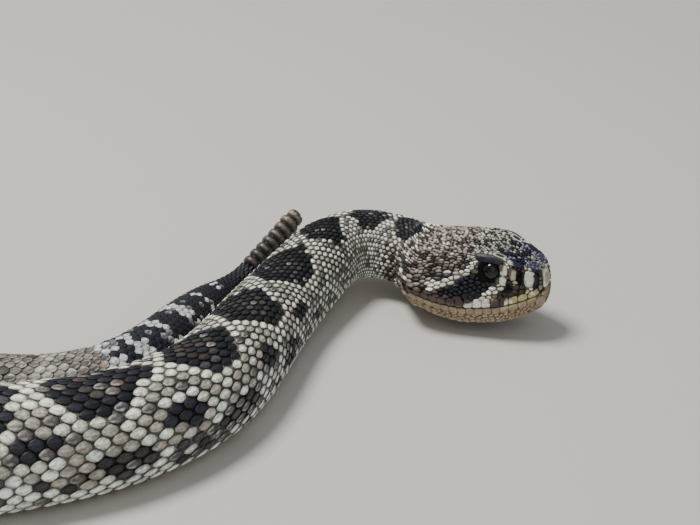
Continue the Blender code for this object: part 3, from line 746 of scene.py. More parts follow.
def scuteTemplate(form):
    u = np.array(form["stations"])
    w = np.linspace(-1, 1, form["ribs"])
    uu, ww, rim, root, quads, walls, faceSizes = plateGrid(u, w)
    height = -form["frontMm"] + (form["frontMm"] - form["rearMm"]) * smoothStep(uu / 0.8)
    height = height - 0.10 * smoothStep((uu - 0.8) / 0.2)
    bend = 0.16 * np.abs(ww) ** 3 * (0.5 - uu)
    count = len(rim)
    corners = np.concatenate([quads.ravel(), walls.ravel(), root[::-1]])
    shade = np.concatenate([1 - 0.25 * (1 - smoothStep(uu / 0.4)), np.full(count, 0.5)])
    flat = np.stack([uu - 0.5, ww / 2], -1) * 0.8
    uv = plateUv(flat, rim, root, corners)
    return {
        "size": len(uu) + count,
        "u": np.concatenate([uu + bend, 0.5 + (uu[rim] + bend[rim] - 0.5) * 0.92]),
        "w": np.concatenate([ww, ww[rim] * 0.985]),
        "height": np.concatenate([height, np.full(count, -form["rootMm"])]),
        "shade": shade, "corners": corners, "faceSizes": faceSizes, "uv": uv * form["patch"],
    }


def buildBellyScutes():
    template = scuteTemplate(scutes)
    s = [scutes["start"]]
    while s[-1] < bodyLength - 0.004:
        s.append(s[-1] + float(scalePitch(s[-1])))
    s = np.array(s)
    length = scalePitch(s) * scutes["length"]
    spotS = s[:, None] + (template["u"] - 0.5)[None] * length[:, None]
    share = 1 - np.abs(template["w"]) * (1 - scutes["outer"])
    side = np.where(template["w"] < 0, -1.0, 1.0)
    spotQ = np.tile(share * side, (len(s), 1))
    here, normal = withNormals(skinSurface, spotS.ravel(), spotQ.ravel(), 0.0004, 0.004)
    points = here + normal * np.tile(template["height"], len(s))[:, None] * 0.001
    smudge = dice.random((len(s), template["size"])) * smoothStep((np.abs(template["w"]) - 0.45) / 0.5)[None]
    blend = smoothStep((smudge.ravel() - 0.35) / 0.4)[:, None]
    tints = markings["belly"] * (1 - blend * 0.7) + markings["bellySmudge"] * blend * 0.7
    onTail = (spotS.ravel() > markings["tailFrom"])[:, None]
    tints = np.where(onTail, tints * 0.6, tints)
    tints = tints * np.tile(template["shade"], len(s))[:, None]
    place = np.stack([0.03 + 0.94 * s / bodyLength, np.full(len(s), 0.5)], -1)
    faceSizes, corners, uv = copiesOf(template, place)
    print("belly scutes", len(s))
    return makeMesh("belly_scutes", points, faceSizes, corners, tints, uv)


# Colours of the head, laid on as strokes along (mm behind the snout, place round the section)
headPaint = {
    "crown": paint(160, 147, 135),
    "crownDark": paint(50, 42, 40),
    "crownPink": paint(150, 134, 128),
    "crownGreen": paint(166, 170, 154),
    "crownPale": paint(204, 198, 184),
    "lilac": paint(140, 137, 156),
    "cheek": paint(104, 89, 74),
    "chin": paint(155, 137, 113),
    "white": paint(232, 231, 214),
    "night": paint(20, 23, 34),
    "mauve": paint(76, 58, 64),
    "snout": paint(28, 30, 48),
    "umber": paint(62, 50, 44),
    "olive": paint(182, 178, 148),
    "lip": paint(186, 172, 128),
    "brow": paint(84, 80, 78),
    # the supraocular's lower edge: painted shade under the overhanging brow
    "shadedLedge": paint(40, 34, 48),
    "black": paint(10, 9, 11),
}
headStrokes = [
    ("umber", 3.6, [(5.0, 3.0), (9.0, 3.2), (10.0, 3.8)]),
    ("umber", 2.0, [(12.0, 2.6), (14.0, 3.2)]),
    ("lip", 1.9, [(1.0, 4.0), (12.0, 4.25)]),
    ("snout", 2.1, [(10.3, 0.95), (8.2, 0.4), (7.0, 0.9), (7.6, 1.5)]),
    ("snout", 1.1, [(13.6, 0.5), (10.5, 0.9)]),
    ("white", 0.9, [(10.6, 1.62), (12.6, 1.5), (14.5, 1.25)]),
    ("night", 2.6, [(17.0, 2.6), (18.5, 3.2), (22.0, 3.35), (26.5, 3.5)]),
    ("night", 1.6, [(26.5, 3.4), (30.0, 3.5)]),
    ("mauve", 1.7, [(24.0, 3.85), (29.0, 3.75), (32.5, 3.6)]),
    ("white", 1.0, [(10.3, 1.95), (11.0, 2.5), (12.2, 3.0)]),
    ("white", 1.3, [(12.6, 2.6), (13.2, 3.1)]),
    ("white", 1.7, [(12.8, 3.05), (16.5, 3.6), (21.0, 3.95)]),
    ("white", 1.1, [(17.0, 4.05), (21.0, 4.12), (24.0, 4.2)]),
    ("night", 2.1, [(20.5, 2.75), (24.0, 3.0), (27.5, 3.15), (31.0, 3.3)]),
    ("olive", 1.0, [(8.2, 2.4), (8.6, 2.9)]),
    ("mauve", 1.2, [(12.2, 3.95), (14.8, 4.05)]),
    ("white", 0.9, [(9.4, 4.05), (10.6, 4.1)]),
    ("white", 1.25, [(21.5, 2.28), (25.0, 2.6), (27.5, 2.80), (32.5, 2.92), (37.0, 2.98)]),
    ("white", 0.8, [(34.0, 3.2), (36.5, 3.25)]),
    ("white", 1.5, [(3.6, 2.2), (3.9, 3.0)]),
    ("white", 0.9, [(2.6, 3.2), (2.8, 3.7)]),
    ("night", 1.1, [(1.6, 2.0), (1.7, 3.1)]),
    ("night", 1.4, [(6.3, 2.35), (6.6, 2.8)]),
    ("night", 1.2, [(9.4, 3.2), (9.6, 3.3)]),
    # the black patch round the eye: the dark scales behind it, and painted shade under the brow
    ("black", 3.9, [(16.4, 2.55), (16.6, 2.55)]),
]


headChances = {
    "pink": 0.4, "green": 0.62, "streakFrom": 0.8, "darkFrom": 0.68, "pale": 0.12, "lilac": (0.66, 0.96),
}
crownEdge = ((0, 2.0), (18, 2.1), (24, 2.6), (36, 3.0), (58, 3.0))


def headTint(a, v, chance, other):
    place = np.abs(v)
    a = np.asarray(a, float)
    onCrown = place < np.interp(a, *zip(*crownEdge))
    tint = lay(headPaint["cheek"], onCrown, headPaint["crown"])
    tint = lay(tint, onCrown & (a > 22) & (other < headChances["pink"]), headPaint["crownPink"])
    green = onCrown & (a < 25) & (chance < headChances["green"])
    tint = lay(tint, green, headPaint["crownGreen"])
    streak = (~onCrown) & (place < 4.4) & (a > 30) & (chance > headChances["streakFrom"])
    tint = lay(tint, streak, headPaint["crownDark"])
    tint = lay(tint, onCrown & (chance > headChances["darkFrom"]), headPaint["crownDark"])
    tint = lay(tint, onCrown & (chance < headChances["pale"]) & (other > 0.3), headPaint["crownPale"])
    tint = tint * (1 - 0.32 * smoothStep((a - 32) / 8) * smoothStep((place - 1.9) / 0.7))[:, None]
    tint = lay(tint, place > headShape["mouthLine"], headPaint["chin"])
    here = headSurface(a, v) * 1000
    flecked = (chance > headChances["lilac"][0]) & (chance < headChances["lilac"][1])
    for colour, radius, spots in headStrokes:
        for side in (-1, 1):
            marks = np.array(spots)
            steps = np.linspace(0, len(marks) - 1, 8 * len(marks))
            markA = np.interp(steps, range(len(marks)), marks[:, 0])
            markV = np.interp(steps, range(len(marks)), marks[:, 1]) * side
            line = headSurface(markA, markV) * 1000
            gap = np.min(np.linalg.norm(here[:, None] - line[None], axis=-1), 1) + (other - 0.5) * 0.5
            tint = lay(tint, gap < radius, headPaint[colour])
            if colour == "snout":
                tint = lay(tint, (gap < radius) & flecked, headPaint["lilac"])
    nape = (chance < smoothStep((a - 44) / 7)) & (place < 6.2)
    if nape.any():
        share = np.interp(place, tableV, tableShare) * np.sign(v + 1e-9)
        tint = lay(tint, nape, trunkTint((a - headShape["lengthMm"]) * 0.001, share, chance, other))
    return tint


def plainTint(painter, m, n):
    # the colour at a spot, without what differs from scale to scale
    still = np.full(len(m), 0.5)
    return painter(m, n, still, still)


# Small head scales fill the places that no shield covers: along, around in mm, at places behind the snout
headScales = {
    "along": [(0, 1.20), (8, 1.30), (18, 1.45), (30, 1.75), (44, 2.00), (58, 2.1)],
    "around": [(0, 1.00), (8, 1.00), (18, 0.98), (30, 0.94), (44, 1.00), (58, 1.15)],
    "lastMm": 53.5,
    "lastRingMm": 57.0,
    "gapMm": 0.16,
    "corners": 12,
    "roundness": 7.0,
    "skinDepthMm": 0.45,
    "rootMm": 0.55,
    "domeMm": 0.15,
    "cheek": 0.55,
    "jaw": 0.20,
    "thin": 0.70,
    "keelMm": [(0, 0.02), (16, 0.08), (26, 0.24), (44, 0.34), (58, 0.34)],
    "rings": [1.0, 0.78, 0.40],
    "ridge": 0.5,
    "patch": 0.0060,
}

# Shields: name, front and rear in mm behind the snout, top and bottom round the section, height in mm
shields = [
    ("supraocular", 11.8, 21.2, 1.58, 2.19, 0.02),
    ("browPlate", 11.6, 16.2, 0.98, 1.52, 0.05),
    ("canthal", 5.8, 10.8, 1.30, 1.98, 0.25),
    ("internasal", 1.2, 4.9, 0.25, 1.45, 0.25),
    ("prenasal", 1.1, 5.0, 2.00, 3.20, 0.25),
    ("postnasal", 7.5, 9.9, 2.15, 2.80, 0.30),
    ("preocular", 10.4, 13.0, 2.10, 2.62, 0.28),
    ("preocularLow", 10.6, 13.2, 2.70, 3.10, 0.25),
    ("lacunal", 6.6, 8.8, 3.00, 3.34, 0.22),
    ("mental", 0.4, 2.2, 4.95, 6.60, 0.20),
    ("chinShield", 3.0, 12.0, 6.05, 6.93, 0.20),
]
labials = {
    "upper": {"count": 15, "front": 1.0, "rear": 46.0, "top": 3.70, "bottom": 4.38, "height": 0.26},
    "lower": {"count": 15, "front": 1.6, "rear": 44.5, "top": 4.60, "bottom": 5.30, "height": 0.22},
    "spacing": 0.97,
}
ringShades = np.array([0.30, 0.55, 0.88, 1.0])
shieldForm = {"corners": 28, "rings": [1.0, 0.92, 0.78, 0.52, 0.25], "domeMm": 0.12, "ridge": 0.0}


def ringAngles(form):
    return np.arange(form["corners"]) / form["corners"] * 2 * math.pi


def coarse(v):
    # scales are larger on the cheek and the jaw than on the crown
    place = np.abs(v)
    cheek = smoothStep((place - 2.3) / 0.4) * (1 - smoothStep((place - 4.4) / 0.4))
    return 1 + headScales["cheek"] * cheek + headScales["jaw"] * smoothStep((place - 4.6) / 0.4)


def headSpots(a, v):
    # places on the head in mm, with the directions along and around, and mm for each step of a and v
    here = headSurface(a, v) * 1000
    da = (headSurface(a + 0.2, v) - headSurface(a - 0.2, v)) * 2500
    dv = (headSurface(a, v + 0.02) - headSurface(a, v - 0.02)) * 25000
    normal = unit(np.cross(da, dv))
    along = unit(da)
    perA = np.linalg.norm(da, axis=1)
    perV = np.linalg.norm(dv, axis=1)
    return here, along, np.cross(normal, along), normal, perA, perV


def discTemplate(form):
    count = form["corners"]
    fractions = np.array([0.88, *form["rings"]])
    total = len(fractions) * count + 1
    corners, faceSizes, uv = [], [], []
    angle = ringAngles(form)

    def flat(ring, k):
        return np.array([math.cos(angle[k % count]), math.sin(angle[k % count])]) * ring * 0.4

    for level in range(len(fractions) - 1):
        inner, outer = (level + 1) * count, level * count
        rimOut = 0.5 / 0.4 if level == 0 else fractions[level]
        for k in range(count):
            n = (k + 1) % count
            corners += [outer + k, outer + n, inner + n, inner + k]
            faceSizes.append(4)
            uv += [flat(rimOut, k), flat(rimOut, n)]
            uv += [flat(fractions[level + 1], n), flat(fractions[level + 1], k)]
    last = (len(fractions) - 1) * count
    for k in range(count):
        n = (k + 1) % count
        corners += [last + k, last + n, total - 1]
        faceSizes.append(3)
        uv += [flat(fractions[-1], k), flat(fractions[-1], n), np.zeros(2)]
    corners += [count - 1 - k for k in range(count)]
    faceSizes.append(count)
    uv += [flat(0.3, count - 1 - k) + np.array([0, 0.75]) for k in range(count)]
    return {
        "size": total, "fractions": np.concatenate([np.repeat(fractions, count), [0.0]]),
        "corners": np.array(corners), "faceSizes": np.array(faceSizes),
        "uv": np.array(uv) * headScales["patch"],
    }


def plateSpots(form, a, v, rimA, rimV):
    # the points of plates on the head; a rim is given as offsets from its plate's middle
    template = discTemplate(form)
    fraction = template["fractions"][None]
    which = np.concatenate([np.tile(np.arange(form["corners"]), len(form["rings"]) + 1), [0]])
    return template, which, a[:, None] + rimA[:, which] * fraction, v[:, None] + rimV[:, which] * fraction


def headPatch(a, v):
    return np.stack([0.04 + 0.92 * a / headShape["lengthMm"], 0.5 + v / 14 * 0.92], -1)


def discPlates(form, name, a, v, rimA, rimV, heights, keels, tints):
    # closed domed plates
    template, which, spotA, spotV = plateSpots(form, a, v, rimA, rimV)
    fraction = template["fractions"]
    level = np.concatenate([np.repeat(np.arange(len(form["rings"]) + 1), form["corners"]), [99]])
    dome = (1 - fraction**2) * form["domeMm"]
    crest = np.abs(np.cos(ringAngles(form)[which[:-1]])) ** 10 * (fraction[:-1] < 0.9)
    crest = np.concatenate([crest, [1.0]]) * (1 - fraction**2)
    lean = rimA[:, which] * fraction[None] / np.maximum(np.abs(rimA).max(1), 1e-6)[:, None]
    height = heights[:, None] * (0.32 + dome[None]) + keels[:, None] * crest[None] + 0.10 * lean
    height = height - headScales["skinDepthMm"] * 0.55
    height = np.where(level[None] == 0, -headScales["rootMm"], height)
    here, normal = withNormals(headSurface, spotA.ravel(), spotV.ravel(), 0.1, 0.02)
    points = here + normal * height.ravel()[:, None] * 0.001
    shade = ringShades[np.minimum(level, len(ringShades) - 1)]
    colours = tints.reshape(len(a), -1, 3)
    if colours.shape[1] == 1:
        colours = np.repeat(colours, template["size"], 1)
    soft = smoothStep((np.abs(v) - 4.45) / 0.1)[:, None, None] * 0.72
    colours = colours * (1 - (1 - shade[None, :, None]) * (1 - soft))
    # the keel of each head scale is lightened as a painted highlight
    colours = colours * (1 + form["ridge"] * (crest[None] * (keels > 0.05)[:, None])[..., None])
    faceSizes, corners, uv = copiesOf(template, headPatch(a, v))
    return makeMesh(name, points, faceSizes, corners, colours.reshape(-1, 3), uv)


def rimSwing(angle, power):
    return [np.sign(f(angle)) * np.abs(f(angle)) ** power for f in (np.cos, np.sin)]


def shieldRims():
    # the shields of one side with its lip scales, in the same order of values
    rims = list(shields)
    for name in ("upper", "lower"):
        row = labials[name]
        step = (row["rear"] - row["front"]) / row["count"]
        for k in range(row["count"]):
            start = row["front"] + k * step
            end = start + step * labials["spacing"]
            rims.append((name + "Labial", start, end, row["top"], row["bottom"], row["height"]))
    return rims


def headSites(along, around):
    # rings of places, wider apart on cheek and jaw, without those that a bend squeezes together
    sites = []
    zones = ((0, 2.5, 1.0), (2.5, 4.6, 1 + headScales["cheek"]), (4.6, 7, 1 + headScales["jaw"]))
    for low, high, size in zones:
        a = 0.6
        k = 0
        while a < headScales["lastRingMm"]:
            v = np.linspace(0, 7, 400)
            x, z = headSection(np.full_like(v, a), v)
            arc = runLength(x, z)
            pitch = float(around(a)) * size
            count = int(arc[-1] / pitch)
            for n in range(-count, count + 1):
                spot = abs(n + 0.5 * (k % 2)) * pitch
                place = float(np.interp(spot, arc, v))
                if spot < arc[-1] - pitch * 0.4 and low <= place < high:
                    sites.append((a, place * (-1 if n + 0.5 * (k % 2) < 0 else 1)))
            a += float(along(a)) * 0.62 * size
            k += 1
    a, v = np.array(sites).T
    throat = np.interp(np.abs(v), tableV, tableShare) > lattice["bellyShare"] - 0.02
    keep = (a < headScales["lastMm"]) | throat
    a, v = a[keep], v[keep]
    a = np.clip(a + (dice.random(len(a)) - 0.5) * 0.5 * along(a), 0.3, headScales["lastRingMm"])
    v = v + (dice.random(len(v)) - 0.5) * 0.35 * around(a) / headSpots(a, v)[5]
    here, forth, sideways, _, _, _ = headSpots(a, v)
    pa, pv = along(a) * coarse(v), around(a) * coarse(v)
    kept = [0]
    for i in range(1, len(a)):
        away = here[kept] - here[i]
        gap = (away @ forth[i] / pa[i]) ** 2 + (away @ sideways[i] / pv[i]) ** 2 + np.sum(away**2, 1) * 0.02
        if gap.min() > headScales["thin"] ** 2:
            kept.append(i)
    return a[kept], v[kept]


def buildHeadScales():
    along = smoothProfile(headScales["along"])
    around = smoothProfile(headScales["around"])
    a, v = headSites(along, around)
    rims = [(f, r, t, b) for _, f, r, t, b, _ in shields] + list(headOpenings)
    for row in ("upper", "lower"):
        rims.append([labials[row][edge] for edge in ("front", "rear", "top", "bottom")])
    rims.append((labials["upper"]["front"], labials["upper"]["rear"], 4.2, 4.8))
    rims.append((-2.0, 0.55, -4.2, 4.2))
    angle = np.linspace(0, 2 * math.pi, 73)[:-1]
    swing = rimSwing(angle, 0.5)
    free = np.ones(len(a), bool)
    rimSpots = []
    for front, rear, top, bottom in rims:
        for side in (-1, 1):
            midA, midV = (front + rear) / 2, (top + bottom) / 2 * side
            halfA, halfV = (rear - front) / 2, abs(bottom - top) / 2
            inside = np.abs((a - midA) / halfA) ** 4 + np.abs((v - midV) / halfV) ** 4 < 1.1
            free &= ~inside
            rimSpots.append(np.stack([midA + swing[0] * halfA, midV + swing[1] * halfV], -1))
    a, v = a[free], v[free]
    rimSpots = np.concatenate(rimSpots)
    here, forth, sideways, normal, perA, perV = headSpots(a, v)
    stepA = along(a) * coarse(v)
    stepV = around(a) * coarse(v)
    gap = (headScales["gapMm"] * np.where(np.abs(v) > 4.6, 0.4, 1) / stepA)[:, None]

    def inSteps(spots):
        away = spots[None] - here[:, None]
        return [
            np.einsum("ijk,ik->ij", away, direction) / step[:, None]
            for direction, step in ((forth, stepA), (sideways, stepV), (normal, stepV))
        ]

    dA, dV, dN = inSteps(here)
    far = np.sqrt(dA**2 + dV**2 + dN**2)
    np.fill_diagonal(far, 99)
    reach = np.where(far < 2.4, far / 2 - gap, 9)
    rA, rV, rN = inSteps(headSurface(rimSpots[:, 0], rimSpots[:, 1]) * 1000)
    rimFar = np.sqrt(rA**2 + rV**2 + rN**2)
    direction = np.stack([np.cos(ringAngles(headScales)), np.sin(ringAngles(headScales))])
    pull = np.zeros((len(a), headScales["corners"]))
    power = headScales["roundness"]
    for k in range(headScales["corners"]):
        toward = (dA * direction[0, k] + dV * direction[1, k]) / far
        pull[:, k] = np.sum((np.clip(toward, 0, None) / np.maximum(reach, 0.12)) ** power, 1)
        toward = (rA * direction[0, k] + rV * direction[1, k]) / rimFar
        near = np.where(rimFar < 1.2, np.clip(toward, 0, None) / np.maximum(rimFar - gap, 0.12), 0)
        pull[:, k] += np.max(near, 1) ** power
    pull += (1 / 0.85) ** power
    radius = pull ** (-1 / power)
    rimA = radius * direction[0][None] * (stepA / perA)[:, None]
    rimV = radius * direction[1][None] * (stepV / perV)[:, None]
    keel = smoothProfile(headScales["keelMm"])(a)
    chance = dice.random(len(a))
    tint = headTint(a, v, chance, dice.random(len(a)))
    uneven = np.where(np.abs(v) > headShape["mouthLine"], 0.2, 0.85)
    tint = tint * (1 + uneven * (dice.random(len(a)) - 0.5))[:, None]
    heights = 0.85 + 0.3 * dice.random(len(a))
    print("small head scales", len(a))
    onTop = np.abs(v) < headShape["mouthLine"]
    parts = (a, v, rimA, rimV, heights, keel, tint[:, None])
    pieces = []
    for name, mine in (("head_scales", onTop), ("jaw_scales", ~onTop)):
        pieces.append(discPlates(headScales, name, *[part[mine] for part in parts]))
    return pieces


def buildShields():
    made = [(side, *shield) for side in (-1, 1) for shield in shieldRims()]
    names = np.array([shield[1] for shield in made])
    side, front, rear, top, bottom, height = np.array([(shield[0], *shield[2:]) for shield in made], float).T
    swing = rimSwing(ringAngles(shieldForm), 0.62)
    a = (front + rear) / 2
    v = (top + bottom) / 2 * side
    rimA = swing[0] * (rear - front)[:, None] / 2
    rimV = swing[1] * (bottom - top)[:, None] / 2 * side[:, None]
    flip = side < 0
    rimA[flip] = rimA[flip][:, ::-1]
    rimV[flip] = rimV[flip][:, ::-1]
    heights = 0.8 + height
    template, _, spotA, spotV = plateSpots(shieldForm, a, v, rimA, rimV)
    tints = plainTint(headTint, spotA.ravel(), spotV.ravel())
    jitter = np.repeat(0.9 + 0.2 * dice.random(len(a)), template["size"])[:, None]
    tints = (tints * jitter).reshape(len(a), -1, 3)
    fraction = np.tile(template["fractions"], (len(a), 1))[..., None]
    spots = np.abs(spotV)[..., None]
    mottle = 0.55 + 0.9 * dice.random(spots.shape)
    outlined = np.where(fraction > 0.7, headPaint["crownPale"], headPaint["crownDark"] * mottle)
    # the supraocular's lower band is painted dark purple as painted shade under the brow's overhang
    shadedLedge = np.where(spots > 1.78, headPaint["shadedLedge"], headPaint["brow"]) * mottle
    grizzled = np.where(mottle > 0.72, headPaint["snout"] * 1.3, headPaint["lilac"])
    grizzled = np.where((fraction > 0.85) & (fraction < 0.95), headPaint["lilac"] * 0.7, grizzled)
    for name, colours in (("supraocular", shadedLedge), ("browPlate", outlined), ("internasal", grizzled)):
        tints[names == name] = colours[names == name]
    print("head shields", len(a))
    return discPlates(shieldForm, "head_shields", a, v, rimA, rimV, heights, heights * 0, tints)


# The shield at the tip of the snout, bent round it
rostral = {
    "rows": 9,
    "columns": 15,
    "middleMm": 15.0,
    "halfHeightMm": 3.5,
    "halfWidthMm": 2.7,
    "narrower": 0.5,
    "bulgeMm": 0.45,
    "rearMm": 1.9,
    "rim": 0.7,
}


def buildRostral():
    sides = [np.linspace(-1, 1, rostral[name]) for name in ("rows", "columns")]
    uu, ww, rim, root, quads, walls, faceSizes = plateGrid(*sides)
    z = rostral["middleMm"] + uu * rostral["halfHeightMm"]
    wide = rostral["halfWidthMm"] - rostral["narrower"] * uu
    x = ww * wide * (1 - 0.12 * uu**2)
    a = 0.15 + 0.05 * x**2 + 0.03 * (z - 14) ** 2
    dome = (1 - ww**4) * (1 - uu**4)
    a = a - rostral["bulgeMm"] * dome**0.5 - 0.05
    front = placeOnHead(a, x, z)
    rear = placeOnHead(a * 0 + rostral["rearMm"], x * 0.9, z)
    count = len(rim)
    turnedRound = [0, 3, 2, 1]
    corners = np.concatenate([quads[:, turnedRound].ravel(), walls[:, turnedRound].ravel(), root])
    points = np.concatenate([front, rear[rim]])
    outward = np.maximum(np.abs(uu), np.abs(ww))
    tints = lay(headPaint["olive"] * 0.7, outward > rostral["rim"], headPaint["white"] * 0.9)
    # the outermost edge is darkened as painted shade on the wall, and the underside is near-black painted
    # shade
    tints = lay(tints, outward > 0.99, tints * 0.3)
    tints = np.concatenate([tints, np.full((count, 3), 0.01)])
    flat = np.stack([0.5 + x / 8, 0.5 + (z - 15) / 10], -1)
    flat = np.concatenate([flat, (flat[rim] - 0.5) * 1.2 + 0.5])
    under = flat.copy()
    under[root] = (flat[root] - 0.5) * 0.05 + [0.05, 0.05]
    top = len(corners) - count
    uv = np.concatenate([flat[corners[:top]], under[corners[top:]]])
    return makeMesh("rostral_shield", points, faceSizes, corners, tints, uv)


# The skin under the scales, in one piece from the snout to the end of the tail
skinForm = {
    "headStepMm": 0.7,
    "bodyStep": 0.0025,
    "aroundBody": 60,
    "insetMm": 0.40,
    "headInsetMm": 0.38,
    "nostril": (6.4, 2.5, 0.75, 0.9),
    "pit": (10.0, 3.26, 0.95, 1.1),
    # darken: the skin between the scales is darker, its own dark colour together with painted shade in the
    # gaps
    "darken": 0.16,
    "mouthShares": [-0.012, -0.006, 0, 0.006, 0.012],
    "mouthHalf": 0.12,
    "mouthDeepMm": 0.6,
    "napeFromMm": 45,
    "napeOverMm": 4,
}
headOpenings = [(13.0, 19.9, 2.12, 2.98), (5.4, 7.4, 2.2, 2.85), (8.9, 11.4, 3.0, 3.46)]


def buildSkin():
    headA = np.arange(0, headShape["lengthMm"], skinForm["headStepMm"])
    bodyS = np.linspace(0, bodyLength, int(bodyLength / skinForm["bodyStep"]))
    half = np.linspace(0, 1, skinForm["aroundBody"] + 1)
    mouthShare = np.interp(headShape["mouthLine"], tableV, tableShare)
    extra = mouthShare + np.array(skinForm["mouthShares"])
    half = np.unique(np.concatenate([half, extra]))
    q = np.concatenate([-half[:0:-1], half])[1:]
    columns = len(q)
    headV = np.sign(q + 1e-9) * np.interp(np.abs(q), tableShare, tableV)
    aa = np.repeat(headA, columns)
    vv = np.tile(headV, len(headA))
    here, normal = withNormals(headSurface, aa, vv, 0.15, 0.02)
    depth = np.full(len(aa), skinForm["headInsetMm"])
    near = np.abs(np.abs(vv) - headShape["mouthLine"])
    mouth = (near < skinForm["mouthHalf"]) & (aa < headShape["mouthCornerMm"])
    depth = depth + np.where(mouth, skinForm["mouthDeepMm"], 0)
    spots = here * 1000
    hole = np.zeros(len(aa))
    for spotA, spotV, radius, deep in (skinForm["nostril"], skinForm["pit"]):
        for side in (-1, 1):
            middle = headSurface(np.array([spotA]), np.array([spotV * side]))[0] * 1000
            fall = np.exp(-((np.linalg.norm(spots - middle, axis=1) / radius) ** 2))
            depth += deep * fall
            hole = np.maximum(hole, fall)
    headPoints = here - normal * depth[:, None] * 0.001
    jaw = smoothStep((np.abs(vv) - headShape["mouthLine"]) / 0.25)[:, None]
    # the skin under the head scales is darkened, less under the jaw: its own dark colour together with
    # painted shade in the gaps
    headTints = plainTint(headTint, aa, vv) * (0.20 + 0.55 * jaw)
    # nostrils, pits and the mouth's slit are darkened as painted shade
    headTints = headTints * (1 - 0.9 * np.maximum(hole, mouth * 1.0))[:, None]
    ss = np.repeat(bodyS, columns)
    qq = np.tile(q, len(bodyS))
    here, normal = withNormals(skinSurface, ss, qq, 0.0006, 0.006)
    bodyPoints = here - normal * skinForm["insetMm"] * 0.001
    bodyTints = plainTint(trunkTint, ss, qq) * skinForm["darken"]
    napeTints = plainTint(trunkTint, (aa - headShape["lengthMm"]) * 0.001, np.tile(q, len(headA)))
    mix = smoothStep((aa - skinForm["napeFromMm"]) / skinForm["napeOverMm"])[:, None]
    headTints = headTints * (1 - mix) + napeTints * skinForm["darken"] * mix
    rows = len(headA) + len(bodyS)
    points = np.concatenate([headPoints, bodyPoints])
    tints = np.concatenate([headTints, bodyTints])
    tip = points[:columns].mean(0)
    end = points[-columns:].mean(0)
    points = np.concatenate([points, [tip, end]])
    tints = np.concatenate([tints, tints[:1], tints[-2:-1]])
    index, turned, quads = tubeFaces(rows, columns)
    quads = quads.reshape(-1, 4)
    capFront = np.stack([np.full(columns, rows * columns), index[0], turned[0]], -1)
    capRear = np.stack([np.full(columns, rows * columns + 1), turned[-1], index[-1]], -1)
    corners = np.concatenate([quads.ravel(), capFront.ravel(), capRear.ravel()])
    faceSizes = np.concatenate([np.full(len(quads), 4), np.full(2 * columns, 3)])
    quadUv = tubeUv(np.linspace(0.02, 0.97, rows), np.linspace(0.02, 0.93, columns + 1)).reshape(-1, 2)
    capUv = []
    for corner in (0.005, 0.985):
        angle = np.arange(columns) / columns * 2 * math.pi
        ring = np.stack([corner + np.cos(angle) * 0.004, 0.97 + np.sin(angle) * 0.004], -1)
        middle = np.tile([corner, 0.97], (columns, 1))
        pair = (ring, np.roll(ring, -1, 0)) if corner < 0.5 else (np.roll(ring, -1, 0), ring)
        capUv.append(np.stack([middle, pair[0], pair[1]], 1).reshape(-1, 2))
    uv = np.concatenate([quadUv] + capUv)
    print("skin", len(faceSizes), "faces")
    return makeMesh("skin", points, faceSizes, corners, tints, uv)


# Eyes: a dark glossy ball whose iris and upright slit are painted by direction; the iris is painted
# near-black as painted shade from the brow
eyeLook = {"rings": 28, "sectors": 40, "slit": 0.16, "iris": 0.80}


def buildEye(side):
    rings, sectors = eyeLook["rings"], eyeLook["sectors"]
    middle = np.array(headShape["eyePlaceMm"])
    theta = np.repeat(np.linspace(0, math.pi, rings + 1), sectors)
    phi = np.tile(np.arange(sectors) / sectors * 2 * math.pi, rings + 1)
    look = np.cos(theta)
    offX = look
    offA = np.sin(theta) * np.cos(phi)
    offZ = np.sin(theta) * np.sin(phi)
    radius = headShape["eyeRadius"] * 1000
    a = middle[0] + radius * (offA - 0.12 * np.clip(look, 0, 1))
    x = (middle[1] + radius * offX) * side
    z = middle[2] + radius * offZ
    points = placeOnHead(a, x, z)
    quads = tubeFaces(rings + 1, sectors)[2]
    if side > 0:
        quads = quads[..., ::-1]
    quads = quads.reshape(-1, 4)
    rho = np.hypot(offA, offZ)
    iris = (rho < eyeLook["iris"]) & (look > 0)
    slit = (np.abs(offA) < eyeLook["slit"] * np.sqrt(np.clip(1 - (offZ / 0.66) ** 2, 0, 1))) & (look > 0)
    tints = np.tile(paint(6, 6, 7), (len(points), 1))
    tints = lay(tints, iris, paint(19, 17, 16))
    tints = lay(tints, slit, paint(3, 3, 4))
    uv = tubeUv(np.linspace(0.02, 0.98, rings + 1), np.linspace(0.02, 0.98, sectors + 1))
    if side > 0:
        uv = uv[:, :, ::-1]
    uv = uv.reshape(-1, 2)
    name = "eyeball_right" if side > 0 else "eyeball_left"
    return makeMesh(name, points, np.full(len(quads), 4), quads.ravel(), tints, uv)


# The rattle's nested lobes
rattleForm = {
    "length": 0.0291,
    "lobes": 8,
    "halfWidth": 0.0036,
    "halfHeight": 0.0046,
    "sides": 48,
    "lobe": [
        (0.0, 0.80), (0.07, 0.83), (0.14, 0.93), (0.24, 1.0), (0.38, 1.03),
        (0.54, 1.03), (0.70, 1.0), (0.82, 0.94), (0.91, 0.84), (0.96, 0.80),
    ],
    "shadeBelowSwell": 0.88,
    "highlightAt": 0.42,
    "highlightSpread": 0.20,
    "taper": 0.012,
    "lastLobe": 0.84,
    "furrowDepth": 0.17,
    "furrowSpread": 0.06,
    "tip": 0.4,
    "dark": paint(32, 28, 29),
    # light and oldLight colour each lobe's painted highlight; oldLight is also the pale tip
    "light": paint(84, 75, 69),
    "oldDark": paint(58, 52, 42),
    "oldLight": paint(150, 138, 116),
}


